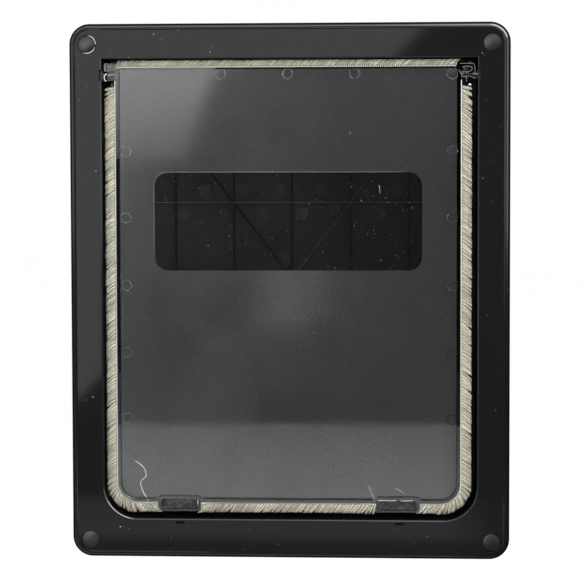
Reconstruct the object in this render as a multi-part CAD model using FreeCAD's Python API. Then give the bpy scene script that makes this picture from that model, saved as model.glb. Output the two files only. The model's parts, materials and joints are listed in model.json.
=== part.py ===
import FreeCAD, Part
import math
import os

from FreeCAD import Vector

# Large framed pet flap for a door. X runs to the right of the person who looks at the outer face,
# Y runs from them into the door, and Z runs up. The origin is under the middle of the frame's
# bottom edge, half way through its depth. All sizes are in millimetres.

# Frames: one on each side of the door leaf
frame_width = 391.0
frame_height = 477.0
frame_corner = 18.0
bezel_depth = 14.0
door_thickness = 34.0
rim_step = 2.0
rim_depth = 10.0
face_wall = 3.0
side_wall = 4.0
face_bevel = 1.6
web_thickness = 1.6
web_setback = 2.0
side_webs = 5
side_web_pitch = 84.0
web_from_magnet = 34.0

# Opening through both frames, by what the frame leaves round it
side_border = 28.7
sill_height = 34.8
head_border = 31.1
opening_corner_low = 30.0
lip_bevel = 0.9

# Sleeves that line the hole in the door, the rear one over the front one
sleeve_wall = 2.0
front_sleeve_length = 36.0
rear_sleeve_length = 28.0
sleeve_clearance = 0.4

# Screws, their bosses and the caps over their heads
screw_inset = 16.0
screw_inset_low = 15.3
screw_inset_high = 18.2
screw_diameter = 4.0
screw_length = 49.0
screw_head_diameter = 8.0
screw_head_height = 2.6
screw_clearance = 0.3
pilot_clearance = 0.05
front_boss_wall = 2.4
rear_boss_wall = 3.6
cap_recess_diameter = 16.4
cap_recess_depth = 2.6
cap_well_diameter = 12.2
cap_well_depth = 9.0
cap_diameter = 15.0
cap_edge = 0.6
cap_dome_height = 1.9
cap_dome_flat = 6.0
cap_plug_diameter = 10.2
cap_plug_length = 3.2
askew_cap_shift = 0.65
askew_cap_tilt = 4.0

# Brush strips: a woven backing with pile, and what stays free between pile and opening
backing_thickness = 2.35
backing_width = 5.6
backing_clearance = 0.1
glue_line = 0.05
pile_width = 4.5
side_pile = 8.2
bottom_pile = 7.6
top_pile = 4.7
pile_side_gap = 2.8
pile_bottom_gap = 4.0
pile_top_gap = 0.9
side_backing_drop = 5.0
side_pile_drop = 10.0
brush_end_gap = 0.3

# Flap: a thin sheet in a deep rim that carries the brush strips
axle_drop = 14.6
axle_depth = 12.5
flap_corner_low = 17.5
flap_corner_high = 1.5
flap_depth = 7.6
flap_sheet = 3.0
rim_side = 3.2
rim_bottom = 2.3
rim_top = 1.2
inner_corner_low = 12.5
channel_lip = 0.6
end_play = 1.9
flap_side_gap = 0.2
window_width = 239.4
window_height = 87.9
window_rise = 57.7
window_corner = 12.4
window_step = 0.4

# Hinge: a steel pin in a barrel at each top corner of the flap, turning in a bush in the frame
pin_diameter = 3.0
pin_press_clearance = 0.02
pin_running_clearance = 0.05
pin_seat = 9.2
barrel_diameter = 6.8
barrel_length = 7.0
ear_reach = 10.2
ear_height = 6.4
ear_gap = 0.4
ear_wall = 1.7
ear_pocket_depth = 4.0
ear_corner = 0.8
bush_slot = 9.9
bush_clearance = 0.1
bush_flange = 13.0
bush_flange_thickness = 1.5
collar_diameter = 8.0
pin_tip_inset = 0.3

# Magnets in the flap's bottom edge, and the ones under the threshold that pull them
magnet_from_side = 55.25
magnet_length = 33.2
magnet_height = 7.2
magnet_thickness = 5.2
magnet_inset = 0.6
magnet_clearance = 0.2
pocket_side_wall = 2.5
pocket_top_wall = 4.2
pocket_bottom_wall = 2.0
pocket_drop = 8.4
pocket_corner = 2.5
floor_magnet_height = 5.8
floor_magnet_thickness = 5.0
holder_wall = 1.4
holder_gap = 0.3
holder_setback = 5.6
holder_latch_width = 6.6
holder_latch_height = 2.0
holder_latch_reach = 1.6
latch_window_width = 7.4
latch_window_height = 2.3
rail_wall = 1.8
rail_ledge = 2.0

# Closing panel: slides down behind the flap in channels of the rear frame
panel_overlap = 4.7
panel_thickness = 2.5
panel_rib_height = 4.5
panel_rib = 1.3
panel_corner = 3.0
panel_top_margin = 1.5
panel_clearance = 0.3
panel_rib_clearance = 0.5
panel_side_clearance = 0.8
panel_sits_off = 0.3
channel_depth = 5.0
channel_corner = 4.0
pocket_front_wall = 1.5
channel_wall = 1.8
rib_side_margin = 7.2
rib_top_rise = 8.9
rib_centre_rise = 7.45
rib_margin = 0.8
rib_cells = 6
grip_width = 80.0
grip_rib = 1.8
grip_pitch = 4.5
grip_ribs = 3
grip_notch_width = 90.0
grip_notch_depth = 18.0
grip_notch_corner = 6.0

# Planes and places that follow from the sizes above
depth = 2 * bezel_depth + door_thickness
y_face = -depth / 2
y_door_front = y_face + bezel_depth
y_door_rear = y_door_front + door_thickness
y_rear = depth / 2
half_width = frame_width / 2
opening_half = half_width - side_border
opening_bottom = sill_height
opening_top = frame_height - head_border
opening_middle = (opening_bottom + opening_top) / 2
sleeve_half = opening_half + sleeve_wall
floor_underside = opening_bottom - sleeve_wall
screw_x = half_width - screw_inset
screw_rows = (screw_inset_low, frame_height - screw_inset_high)
axle_height = opening_top - axle_drop
y_axle = y_face + axle_depth
y_flap_front = y_axle - flap_depth / 2
y_flap_rear = y_axle + flap_depth / 2
y_sheet_front = y_axle - flap_sheet / 2
y_sheet_rear = y_axle + flap_sheet / 2
strip_root = glue_line + backing_thickness
flap_half_width = opening_half - pile_side_gap - side_pile - strip_root
flap_bottom = opening_bottom + pile_bottom_gap + bottom_pile + strip_root
flap_top = opening_top - pile_top_gap - top_pile - strip_root
window_middle = (flap_bottom + flap_top) / 2 + window_rise
flap_x = flap_side_gap - end_play
magnet_x = flap_half_width - magnet_from_side
pocket_half = magnet_length / 2 + magnet_clearance + pocket_side_wall
pocket_bottom = flap_bottom - pocket_drop
magnet_bottom = pocket_bottom + pocket_bottom_wall
pocket_top = magnet_bottom + magnet_height + pocket_top_wall
front_boss = cap_well_diameter + 2 * front_boss_wall
rear_boss = screw_diameter + 2 * rear_boss_wall
barrel_end = flap_half_width + barrel_length
collar_face = barrel_end + end_play
panel_half = opening_half + panel_overlap
y_panel_front = y_door_rear + pocket_front_wall + panel_rib_clearance + panel_rib_height
y_panel_rear = y_panel_front + panel_thickness

# How far a cut runs past the face that it opens, and how close counts as the same place
reach = 1.0
same_place = 0.001


def upright(half, z_low, z_high, r_low, r_high, y_from, y_to, x_mid=0.0):
    """Slab that stands across the depth, with its own radii at the lower and upper corners."""
    corners = (
        (x_mid + half, z_low, -1, 1, r_low, -90),
        (x_mid + half, z_high, -1, -1, r_high, 0),
        (x_mid - half, z_high, 1, -1, r_high, 90),
        (x_mid - half, z_low, 1, 1, r_low, 180),
    )
    edges = []
    ends = []
    for x, z, to_x, to_z, radius, start in corners:
        if radius == 0:
            ends.append((Vector(x, y_from, z), Vector(x, y_from, z)))
            continue
        arc = []
        for turn in (0, 45, 90):
            angle = math.radians(start + turn)
            arc_x = x + to_x * radius + radius * math.cos(angle)
            arc_z = z + to_z * radius + radius * math.sin(angle)
            arc.append(Vector(arc_x, y_from, arc_z))
        edges.append(Part.Arc(arc[0], arc[1], arc[2]).toShape())
        ends.append((arc[0], arc[2]))
    for index in range(4):
        leave = ends[index][1]
        arrive = ends[(index + 1) % 4][0]
        edges.append(Part.LineSegment(leave, arrive).toShape())
    wire = Part.Wire(Part.__sortEdges__(edges))
    return Part.Face(wire).extrude(Vector(0, y_to - y_from, 0))


def block(x_from, x_to, y_from, y_to, z_from, z_to):
    """Box between two corners, given in any order along X."""
    x_low = min(x_from, x_to)
    return Part.makeBox(abs(x_to - x_from), y_to - y_from, z_to - z_from, Vector(x_low, y_from, z_from))


def rod_y(diameter, x, z, y_from, y_to):
    """Round rod that runs into the door."""
    return Part.makeCylinder(diameter / 2, y_to - y_from, Vector(x, y_from, z), Vector(0, 1, 0))


def rod_x(diameter, x_from, x_to):
    """Round rod along the hinge axis."""
    x_low = min(x_from, x_to)
    start = Vector(x_low, y_axle, axle_height)
    return Part.makeCylinder(diameter / 2, abs(x_to - x_from), start, Vector(1, 0, 0))


def turned(profile, x, z):
    """Solid turned about an axis along Y at (x, z), from points of radius and depth."""
    points = [Vector(radius, y, 0) for radius, y in profile]
    face = Part.Face(Part.makePolygon(points + [points[0]]))
    solid = face.revolve(Vector(0, 0, 0), Vector(0, 1, 0), 360)
    solid.translate(Vector(x, 0, z))
    return solid


def edges_at(shape, y):
    """Edges that lie wholly in the plane at depth y."""
    found = []
    for edge in shape.Edges:
        box = edge.BoundBox
        if abs(box.YMin - y) < same_place and abs(box.YMax - y) < same_place:
            found.append(edge)
    return found


def inner_edges(shape, y, half, z_low, z_high):
    """Edges in the plane at depth y that lie inside an upright rectangle."""
    found = []
    for edge in edges_at(shape, y):
        box = edge.BoundBox
        across = max(abs(box.XMin), abs(box.XMax)) < half
        if across and box.ZMin > z_low and box.ZMax < z_high:
            found.append(edge)
    return found


def to_rear(shape):
    """Mirror image of a front bezel piece, for the rear frame."""
    return shape.mirror(Vector(0, 0, 0), Vector(0, 1, 0))


def save(shape, name):
    """Write one node, tidied of needless seams."""
    shape.removeSplitter().exportStep("parts/" + name + ".step")


def bezel_shell():
    """Stepped bezel, hollow towards the door, with the opening cut and its edges bevelled."""
    rim_corner = frame_corner - rim_step
    hollow_corner = frame_corner - side_wall
    y_step = y_door_front - rim_depth
    rim = upright(half_width, 0, frame_height, frame_corner, frame_corner, y_step, y_door_front)
    raised = upright(
        half_width - rim_step,
        rim_step,
        frame_height - rim_step,
        rim_corner,
        rim_corner,
        y_face,
        y_door_front,
    )
    raised = raised.makeChamfer(face_bevel, edges_at(raised, y_face))
    hollow = upright(
        half_width - side_wall,
        side_wall,
        frame_height - side_wall,
        hollow_corner,
        hollow_corner,
        y_face + face_wall,
        y_door_front + reach,
    )
    shell = rim.fuse(raised).removeSplitter().cut(hollow)
    shell = shell.cut(opening(y_face - reach, y_door_front))
    lip = inner_edges(shell, y_face, sleeve_half, floor_underside, opening_top + reach)
    return shell.makeChamfer(lip_bevel, lip)


def opening(y_from, y_to):
    """Space of the way through, with square top corners and round bottom ones."""
    return upright(
        opening_half,
        opening_bottom,
        opening_top,
        opening_corner_low,
        0,
        y_from,
        y_to,
    )


def sleeve_space(extra, y_from, y_to):
    """The opening's shape grown by a wall or a clearance."""
    return upright(
        opening_half + extra,
        opening_bottom - extra,
        opening_top + extra,
        opening_corner_low + extra,
        0,
        y_from,
        y_to,
    )


def bezel_webs(inner_half, inner_low, inner_high):
    """Stiffening webs between the bezel's outer wall and the wall around the opening."""
    y_from = y_face + face_wall / 2
    y_to = y_door_front - web_setback
    outer = half_width - side_wall / 2
    half = web_thickness / 2
    z_bottom = side_wall / 2
    z_top = frame_height - side_wall / 2
    webs = []
    for row in range(side_webs):
        z = opening_middle + (row - (side_webs - 1) / 2) * side_web_pitch
        for side in (-1, 1):
            webs.append(block(side * inner_half, side * outer, y_from, y_to, z - half, z + half))
    x_near = magnet_x - web_from_magnet
    x_far = magnet_x + web_from_magnet
    for x in (-x_far, -x_near, 0, x_near, x_far):
        webs.append(block(x - half, x + half, y_from, y_to, z_bottom, inner_low))
        webs.append(block(x - half, x + half, y_from, y_to, inner_high, z_top))
    return webs


def boss(width, x, z, y_from, y_to):
    """Square screw boss."""
    half = width / 2
    return block(x - half, x + half, y_from, y_to, z - half, z + half)


def holder_rails(side):
    """Two ledged rails that carry a magnet holder under the threshold."""
    rails = []
    half = magnet_length / 2 + magnet_clearance + holder_wall + holder_gap
    z_tray = floor_underside - holder_gap - floor_magnet_height - holder_wall - magnet_clearance
    z_ledge = z_tray - holder_gap
    y_from = y_face + face_wall / 2
    y_to = y_door_front - web_setback / 2
    for end in (-1, 1):
        x_in = side * magnet_x + end * half
        x_out = x_in + end * rail_wall
        rails.append(block(x_in, x_out, y_from, y_to, z_ledge - rail_wall, opening_bottom - sleeve_wall / 2))
        rails.append(block(x_in - end * rail_ledge, x_out, y_from, y_to, z_ledge - rail_wall, z_ledge))
    return rails


def hinge_slot(side):
    """Slot in the sleeve wall, open at the front, where a bush is pushed in."""
    z_low = axle_height - bush_slot / 2
    z_high = axle_height + bush_slot / 2
    x_in = side * (opening_half - reach)
    x_out = side * sleeve_half
    return block(x_in, x_out, y_face - reach, y_axle + bush_slot / 2, z_low, z_high)


def latch_window(side):
    """Small slot in the face, below the opening, that catches a magnet holder's latch."""
    z_high = floor_underside - bush_clearance
    z_low = z_high - latch_window_height
    x = side * magnet_x
    half = latch_window_width / 2
    return block(x - half, x + half, y_face - reach, y_face + face_wall + reach, z_low, z_high)


def build_front_frame():
    """Outer frame: bezel, sleeve, hinge slots, screw bosses and magnet rails."""
    y_sleeve_end = y_face + front_sleeve_length
    sleeve = sleeve_space(sleeve_wall, y_face + face_wall / 2, y_sleeve_end)
    frame = bezel_shell()
    extras = [sleeve.cut(opening(y_face - reach, y_sleeve_end + reach))]
    into = sleeve_wall / 2
    extras.extend(bezel_webs(sleeve_half - into, floor_underside + into, opening_top + into))
    for side in (-1, 1):
        extras.extend(holder_rails(side))
        for z in screw_rows:
            extras.append(boss(front_boss, side * screw_x, z, y_face + face_wall / 2, y_door_front))
    frame = frame.fuse(extras)
    cuts = []
    for side in (-1, 1):
        cuts.append(hinge_slot(side))
        cuts.append(latch_window(side))
        for z in screw_rows:
            x = side * screw_x
            cuts.append(rod_y(cap_recess_diameter, x, z, y_face - reach, y_face + cap_recess_depth))
            cuts.append(rod_y(cap_well_diameter, x, z, y_face, y_face + cap_well_depth))
            bore = screw_diameter + 2 * screw_clearance
            cuts.append(rod_y(bore, x, z, y_face, y_door_front + reach))
    return frame.cut(cuts)


def build_rear_frame():
    """Inner frame: bezel, outer sleeve, screw bosses and the closing panel's channels."""
    y_ribs = y_panel_front - panel_rib_height - panel_rib_clearance
    y_channel = y_panel_front - panel_clearance
    y_channel_end = y_panel_rear + panel_clearance
    channel_half = panel_half + panel_side_clearance
    channel_bottom = opening_bottom - channel_depth
    gap = sleeve_wall + sleeve_clearance
    above = frame_height + reach
    y_sleeve = y_door_rear - rear_sleeve_length
    sleeve = sleeve_space(gap + sleeve_wall, y_sleeve, y_door_rear + pocket_front_wall)
    housing = upright(
        channel_half + channel_wall,
        channel_bottom - channel_wall,
        frame_height - side_wall / 2,
        channel_corner,
        channel_corner,
        y_door_rear,
        y_rear - face_wall / 2,
    )
    frame = to_rear(bezel_shell())
    extras = [sleeve, housing]
    for web in bezel_webs(channel_half, channel_bottom - channel_wall / 2, frame_height - side_wall):
        extras.append(to_rear(web))
    for side in (-1, 1):
        for z in screw_rows:
            extras.append(boss(rear_boss, side * screw_x, z, y_door_rear, y_rear - face_wall / 2))
    frame = frame.fuse(extras)
    notch = upright(
        grip_notch_width / 2,
        frame_height - grip_notch_depth,
        above,
        grip_notch_corner,
        0,
        y_channel,
        y_rear + reach,
    )
    cuts = [
        sleeve_space(gap, y_sleeve - reach, y_door_rear),
        opening(y_door_rear - reach, y_ribs + reach / 2),
        upright(opening_half, opening_bottom, above, channel_corner, 0, y_ribs, y_channel + reach / 2),
        upright(channel_half, channel_bottom, above, panel_corner, 0, y_channel, y_channel_end),
        opening(y_channel, y_rear + reach),
        notch,
    ]
    for side in (-1, 1):
        for z in screw_rows:
            bore = screw_diameter + 2 * pilot_clearance
            y_end = y_face + cap_well_depth + screw_length + reach
            cuts.append(rod_y(bore, side * screw_x, z, y_door_rear - reach, y_end))
    return frame.cut(cuts)


def build_flap():
    """Flap: sheet, deep rim with a channel for the brushes, window, ears, barrels and magnet pockets."""
    lip_half = flap_half_width + channel_lip
    body = upright(
        lip_half,
        flap_bottom - channel_lip,
        flap_top + channel_lip,
        flap_corner_low + channel_lip,
        flap_corner_high + channel_lip,
        y_flap_front,
        y_flap_rear,
    )
    groove_y = (flap_depth - backing_width) / 2 - backing_clearance
    groove = upright(
        lip_half + reach,
        flap_bottom - channel_lip - reach,
        flap_top + channel_lip + reach,
        flap_corner_low + channel_lip + reach,
        flap_corner_high + channel_lip + reach,
        y_flap_front + groove_y,
        y_flap_rear - groove_y,
    )
    core = upright(
        flap_half_width,
        flap_bottom,
        flap_top,
        flap_corner_low,
        flap_corner_high,
        y_flap_front,
        y_flap_rear,
    )
    body = body.cut(groove.cut(core))
    for y_from, y_to in (
        (y_flap_front - reach, y_sheet_front),
        (y_sheet_rear, y_flap_rear + reach),
    ):
        pan = upright(
            flap_half_width - rim_side,
            flap_bottom + rim_bottom,
            flap_top - rim_top,
            inner_corner_low,
            flap_corner_high,
            y_from,
            y_to,
        )
        body = body.cut(pan)
    extras = []
    for side in (-1, 1):
        ear_mid = side * (flap_half_width + (ear_reach - rim_side) / 2)
        ear_half = (ear_reach + rim_side) / 2
        ear_low = axle_height + collar_diameter / 2 + ear_gap
        ear_high = ear_low + ear_height
        ear = upright(
            ear_half,
            ear_low,
            ear_high,
            0,
            0,
            y_flap_front,
            y_flap_rear,
            ear_mid,
        )
        ear_pocket = upright(
            ear_reach / 2 - ear_wall,
            ear_low + ear_wall,
            ear_high - ear_wall,
            ear_corner,
            ear_corner,
            y_flap_front - reach,
            y_flap_front + ear_pocket_depth,
            side * (flap_half_width + ear_reach / 2),
        )
        extras.append(ear.cut(ear_pocket))
        extras.append(rod_x(barrel_diameter, side * (flap_half_width - rim_side / 2), side * barrel_end))
        extras.append(
            upright(
                pocket_half,
                pocket_bottom,
                pocket_top,
                0,
                pocket_corner,
                y_flap_front,
                y_flap_rear,
                side * magnet_x,
            )
        )
    body = body.fuse(extras)
    cuts = []
    for y_from, y_to in (
        (y_sheet_front - reach, y_sheet_front + window_step),
        (y_sheet_rear - window_step, y_sheet_rear + reach),
    ):
        cuts.append(
            upright(
                window_width / 2,
                window_middle - window_height / 2,
                window_middle + window_height / 2,
                window_corner,
                window_corner,
                y_from,
                y_to,
            )
        )
    for side in (-1, 1):
        cuts.append(magnet_space(side, magnet_clearance))
        bore = pin_diameter + 2 * pin_press_clearance
        cuts.append(rod_x(bore, side * (barrel_end - pin_seat), side * (barrel_end + reach)))
    return placed(body.cut(cuts))


def magnet_space(side, clearance):
    """A flap magnet's own shape, or its pocket when a clearance is given."""
    y_from = y_flap_front + magnet_inset
    y_open = y_from if clearance == 0 else y_flap_front - reach
    return upright(
        magnet_length / 2 + clearance,
        magnet_bottom - clearance,
        magnet_bottom + magnet_height + clearance,
        0,
        0,
        y_open,
        y_from + magnet_thickness + clearance / 2,
        side * magnet_x,
    )


def placed(shape):
    """Move a flap piece to where the flap hangs between its bushes."""
    shape.translate(Vector(flap_x, 0, 0))
    return shape


def brush_ring():
    """Backing and pile all the way round the flap, before they are cut to length."""
    root = flap_half_width + glue_line
    root_low = flap_bottom - glue_line
    root_high = flap_top + glue_line
    face = root + backing_thickness
    face_low = root_low - backing_thickness
    face_high = root_high + backing_thickness
    y_back = backing_width / 2
    y_pile = pile_width / 2
    root_corner = flap_corner_low + glue_line
    face_corner = root_corner + backing_thickness
    high = flap_corner_high
    backing = upright(face, face_low, face_high, face_corner, high, y_axle - y_back, y_axle + y_back)
    y_front = y_axle - flap_depth
    inside = upright(root, root_low, root_high, root_corner, high, y_front, y_axle + flap_depth)
    tips = upright(
        face + side_pile,
        face_low - bottom_pile,
        face_high + top_pile,
        face_corner + bottom_pile,
        high,
        y_axle - y_pile,
        y_axle + y_pile,
    )
    return backing.fuse(tips).cut(inside)


def build_brushes():
    """The four strips, cut from the ring at the hinges and at the magnet pockets."""
    ring = brush_ring()
    y_from = y_axle - flap_depth
    y_to = y_axle + flap_depth
    x_out = half_width
    x_side = magnet_x + pocket_half + brush_end_gap
    x_mid = magnet_x - pocket_half - brush_end_gap
    x_top = flap_half_width - rim_side - brush_end_gap
    x_pile = flap_half_width + strip_root
    z_side = axle_height - side_backing_drop
    z_pile = axle_height - side_pile_drop
    pieces = {
        "brush_left": block(-x_out, -x_side, y_from, y_to, 0, z_side),
        "brush_right": block(x_side, x_out, y_from, y_to, 0, z_side),
        "brush_bottom": block(-x_mid, x_mid, y_from, y_to, 0, opening_middle),
        "brush_top": block(-x_top, x_top, y_from, y_to, opening_middle, frame_height),
    }
    bare = [block(side * x_pile, side * x_out, y_from, y_to, z_pile, z_side) for side in (-1, 1)]
    return {name: placed(ring.common(piece).cut(bare)) for name, piece in pieces.items()}


def build_pin(side):
    """Steel pivot pin, pressed into the flap's barrel."""
    pin_end = opening_half + pin_tip_inset
    return placed(rod_x(pin_diameter, side * (barrel_end - pin_seat), side * pin_end))


def build_bush(side):
    """Bush: a collar beside the flap's barrel, a core in the frame's slot and a flange behind it."""
    core_half = bush_slot / 2 - bush_clearance
    flange_half = bush_flange / 2
    x_flange = sleeve_half + bush_clearance
    x_collar = side * collar_face
    x_wall = side * opening_half
    core = block(
        x_wall,
        side * x_flange,
        y_axle - core_half,
        y_axle + core_half,
        axle_height - core_half,
        axle_height + core_half,
    )
    flange = block(
        side * x_flange,
        side * (x_flange + bush_flange_thickness),
        y_axle - flange_half,
        y_axle + flange_half,
        axle_height - flange_half,
        axle_height + flange_half,
    )
    bore = rod_x(pin_diameter + 2 * pin_running_clearance, x_collar - reach, side * (x_flange + 3 * reach))
    if side < 0:
        bore = rod_x(pin_diameter + 2 * pin_running_clearance, x_collar + reach, -x_flange - 3 * reach)
    return rod_x(collar_diameter, x_collar, x_wall).fuse([core, flange]).cut(bore)


def build_floor_magnet(side):
    """Bar magnet that lies in its holder under the threshold."""
    z_low = floor_underside - holder_gap - floor_magnet_height
    y_from = y_face + holder_setback + holder_wall + magnet_clearance
    y_to = y_from + floor_magnet_thickness
    half = magnet_length / 2
    x = side * magnet_x
    return block(x - half, x + half, y_from, y_to, z_low, z_low + floor_magnet_height)


def build_holder(side):
    """Open tray for a threshold magnet, with a latch that snaps into the face."""
    x = side * magnet_x
    inner_half = magnet_length / 2 + magnet_clearance
    outer_half = inner_half + holder_wall
    y_front = y_face + holder_setback
    y_well = y_front + holder_wall
    y_well_end = y_well + floor_magnet_thickness + 2 * magnet_clearance
    z_top = floor_underside - holder_gap
    z_well = z_top - floor_magnet_height - magnet_clearance
    y_rear_wall = y_well_end + holder_wall
    tray = block(x - outer_half, x + outer_half, y_front, y_rear_wall, z_well - holder_wall, z_top)
    well = block(x - inner_half, x + inner_half, y_well, y_well_end, z_well, z_top + reach)
    z_latch = floor_underside - holder_gap
    latch_half = holder_latch_width / 2
    y_latch = y_face + holder_latch_reach
    latch = block(x - latch_half, x + latch_half, y_latch, y_well, z_latch - holder_latch_height, z_latch)
    return tray.cut(well).fuse(latch)


def build_closing_panel():
    """Closing panel: plate, ribs towards the flap and grip ribs at its top edge."""
    top = frame_height - panel_top_margin
    low = opening_bottom - channel_depth + panel_clearance
    plate = upright(panel_half, low, top, panel_corner, panel_corner, y_panel_front, y_panel_rear)
    y_tip = y_panel_front - panel_rib_height
    y_root = y_panel_front + panel_thickness / 2
    edge_x = opening_half - rib_side_margin
    edge_low = opening_bottom + rib_margin
    edge_high = opening_top + rib_top_rise
    rib_centre = opening_middle + rib_centre_rise
    rib_pitch_x = 2 * edge_x / rib_cells
    rib_pitch_z = 2 * (edge_high - rib_centre) / rib_cells
    half_rib = panel_rib / 2
    ribs = []
    for step in range(1 - rib_cells // 2, rib_cells // 2):
        x = step * rib_pitch_x
        z = rib_centre + step * rib_pitch_z
        ribs.append(block(x - half_rib, x + half_rib, y_tip, y_root, edge_low, edge_high))
        ribs.append(block(-edge_x, edge_x, y_tip, y_root, z - half_rib, z + half_rib))
    corner = channel_corner
    outer = upright(edge_x, edge_low, edge_high, corner, corner, y_tip, y_root)
    inner_corner = corner - panel_rib
    inner = upright(
        edge_x - panel_rib,
        edge_low + panel_rib,
        edge_high - panel_rib,
        inner_corner,
        inner_corner,
        y_tip - reach,
        y_root + reach,
    )
    ribs.append(outer.cut(inner))
    diagonal = math.hypot(rib_pitch_x, rib_pitch_z) * rib_cells
    slope = math.degrees(math.atan2(rib_pitch_z, rib_pitch_x))
    for lean in (slope, -slope):
        brace = block(-diagonal / 2, diagonal / 2, y_tip, y_root, -half_rib, half_rib)
        brace.rotate(Vector(0, 0, 0), Vector(0, 1, 0), lean)
        brace.translate(Vector(0, 0, rib_centre))
        ribs.append(brace.common(outer))
    for row in range(grip_ribs):
        z = top - (row + 1) * grip_pitch
        half = grip_width / 2
        ribs.append(block(-half, half, y_root, y_panel_rear + grip_rib, z, z + grip_rib))
    panel = plate.fuse(ribs)
    panel.translate(Vector(panel_sits_off, 0, 0))
    return panel


def build_cap():
    """Raised cap with a snap plug, turned about the origin with its seat at depth 0."""
    cap_radius = cap_diameter / 2
    plug_radius = cap_plug_diameter / 2
    flat_radius = cap_dome_flat / 2
    rise = cap_dome_height - cap_edge
    sphere = (cap_radius ** 2 + rise ** 2) / (2 * rise)
    y_flat = sphere - math.sqrt(sphere ** 2 - flat_radius ** 2) - cap_dome_height
    plug = [(0, cap_plug_length), (plug_radius, cap_plug_length), (plug_radius, 0), (cap_radius, 0)]
    return turned(plug + [(cap_radius, -cap_edge), (flat_radius, y_flat), (0, y_flat)], 0, 0)


def build_caps():
    """Caps on the four screw wells. The top left one sits askew."""
    caps = []
    for side in (-1, 1):
        for z in screw_rows:
            cap = build_cap()
            x = side * screw_x
            if side < 0 and z > opening_middle:
                edge = Vector(-cap_diameter / 2, 0, 0)
                cap.rotate(edge, Vector(0, 0, 1), -askew_cap_tilt)
                x -= askew_cap_shift
            cap.translate(Vector(x, y_face + cap_recess_depth, z))
            caps.append(cap)
    return Part.makeCompound(caps)


def build_screws():
    """The four long screws that draw the two frames together."""
    radius = screw_diameter / 2
    head = screw_head_diameter / 2
    y_seat = y_face + cap_well_depth
    y_head = y_seat - screw_head_height
    y_end = y_seat + screw_length
    profile = [(0, y_head), (head, y_head), (head, y_seat), (radius, y_seat), (radius, y_end), (0, y_end)]
    screws = [turned(profile, side * screw_x, z) for side in (-1, 1) for z in screw_rows]
    return Part.makeCompound(screws)


save(build_front_frame(), "front_frame")
save(build_rear_frame(), "rear_frame")
save(build_flap(), "flap_panel")
save(build_closing_panel(), "closing_panel")
for strip_name, strip in build_brushes().items():
    save(strip, strip_name)
for hand, sign in (("left", -1), ("right", 1)):
    save(placed(magnet_space(sign, 0)), "flap_magnet_" + hand)
    save(build_pin(sign), "pivot_pin_" + hand)
    save(build_bush(sign), "hinge_bush_" + hand)
    save(build_floor_magnet(sign), "threshold_magnet_" + hand)
    save(build_holder(sign), "magnet_holder_" + hand)
build_caps().exportStep("parts/screw_caps.step")
build_screws().exportStep("parts/fixing_screws.step")
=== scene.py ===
import json
import math
import random

import bmesh
import bpy
from mathutils import Matrix, Vector


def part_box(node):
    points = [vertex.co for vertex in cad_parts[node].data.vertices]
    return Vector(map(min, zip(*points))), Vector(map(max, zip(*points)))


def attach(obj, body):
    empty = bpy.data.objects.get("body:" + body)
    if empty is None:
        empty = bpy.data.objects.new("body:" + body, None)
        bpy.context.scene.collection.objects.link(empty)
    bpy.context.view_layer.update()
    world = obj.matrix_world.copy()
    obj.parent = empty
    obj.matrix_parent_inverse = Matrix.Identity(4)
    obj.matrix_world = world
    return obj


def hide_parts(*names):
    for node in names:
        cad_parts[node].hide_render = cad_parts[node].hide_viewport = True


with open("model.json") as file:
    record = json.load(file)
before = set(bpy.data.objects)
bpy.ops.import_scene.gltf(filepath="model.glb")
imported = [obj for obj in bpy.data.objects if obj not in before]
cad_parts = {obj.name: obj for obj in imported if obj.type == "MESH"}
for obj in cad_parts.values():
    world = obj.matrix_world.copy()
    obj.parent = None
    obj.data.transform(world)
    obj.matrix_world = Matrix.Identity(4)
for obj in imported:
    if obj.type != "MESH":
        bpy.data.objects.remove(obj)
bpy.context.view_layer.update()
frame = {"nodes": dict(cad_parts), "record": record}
nodes = frame["nodes"]
joints = frame["record"]["behaviour"]["joints"]

MM = 0.001

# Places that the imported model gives
flap_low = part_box("flap_panel")[0]
frame_low, frame_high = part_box("front_frame")
AXLE = Vector(joints[0]["pos_m"])

# Sizes of the flap, in metres
FLAP_X = -1.7 * MM
FLAP_HALF = 153.4 * MM
FLAP_BOTTOM = 48.8 * MM
FLAP_TOP = 437.9 * MM
FLAP_CORNER = 17.5 * MM
WINDOW_HALF_WIDTH = 119.7 * MM
WINDOW_LOW = 257.1 * MM
WINDOW_HIGH = 345.0 * MM
WINDOW_STEP = 0.4 * MM

# Sizes of the opening and of the frame
OPENING_HALF = 166.8 * MM
OPENING_LOW = 34.8 * MM
OPENING_HIGH = 445.9 * MM
CAP_X = 179.5 * MM
CAP_ROWS = (15.3 * MM, 458.8 * MM)

# Sizes of the brush strips
BACKING = 2.35 * MM
BACKING_WIDTH = 5.6 * MM
PILE_WIDTH = 4.5 * MM
SIDE_PILE = 8.2 * MM
BOTTOM_PILE = 7.6 * MM
TOP_PILE = 4.7 * MM
GLUE_LINE = 0.05 * MM

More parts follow.
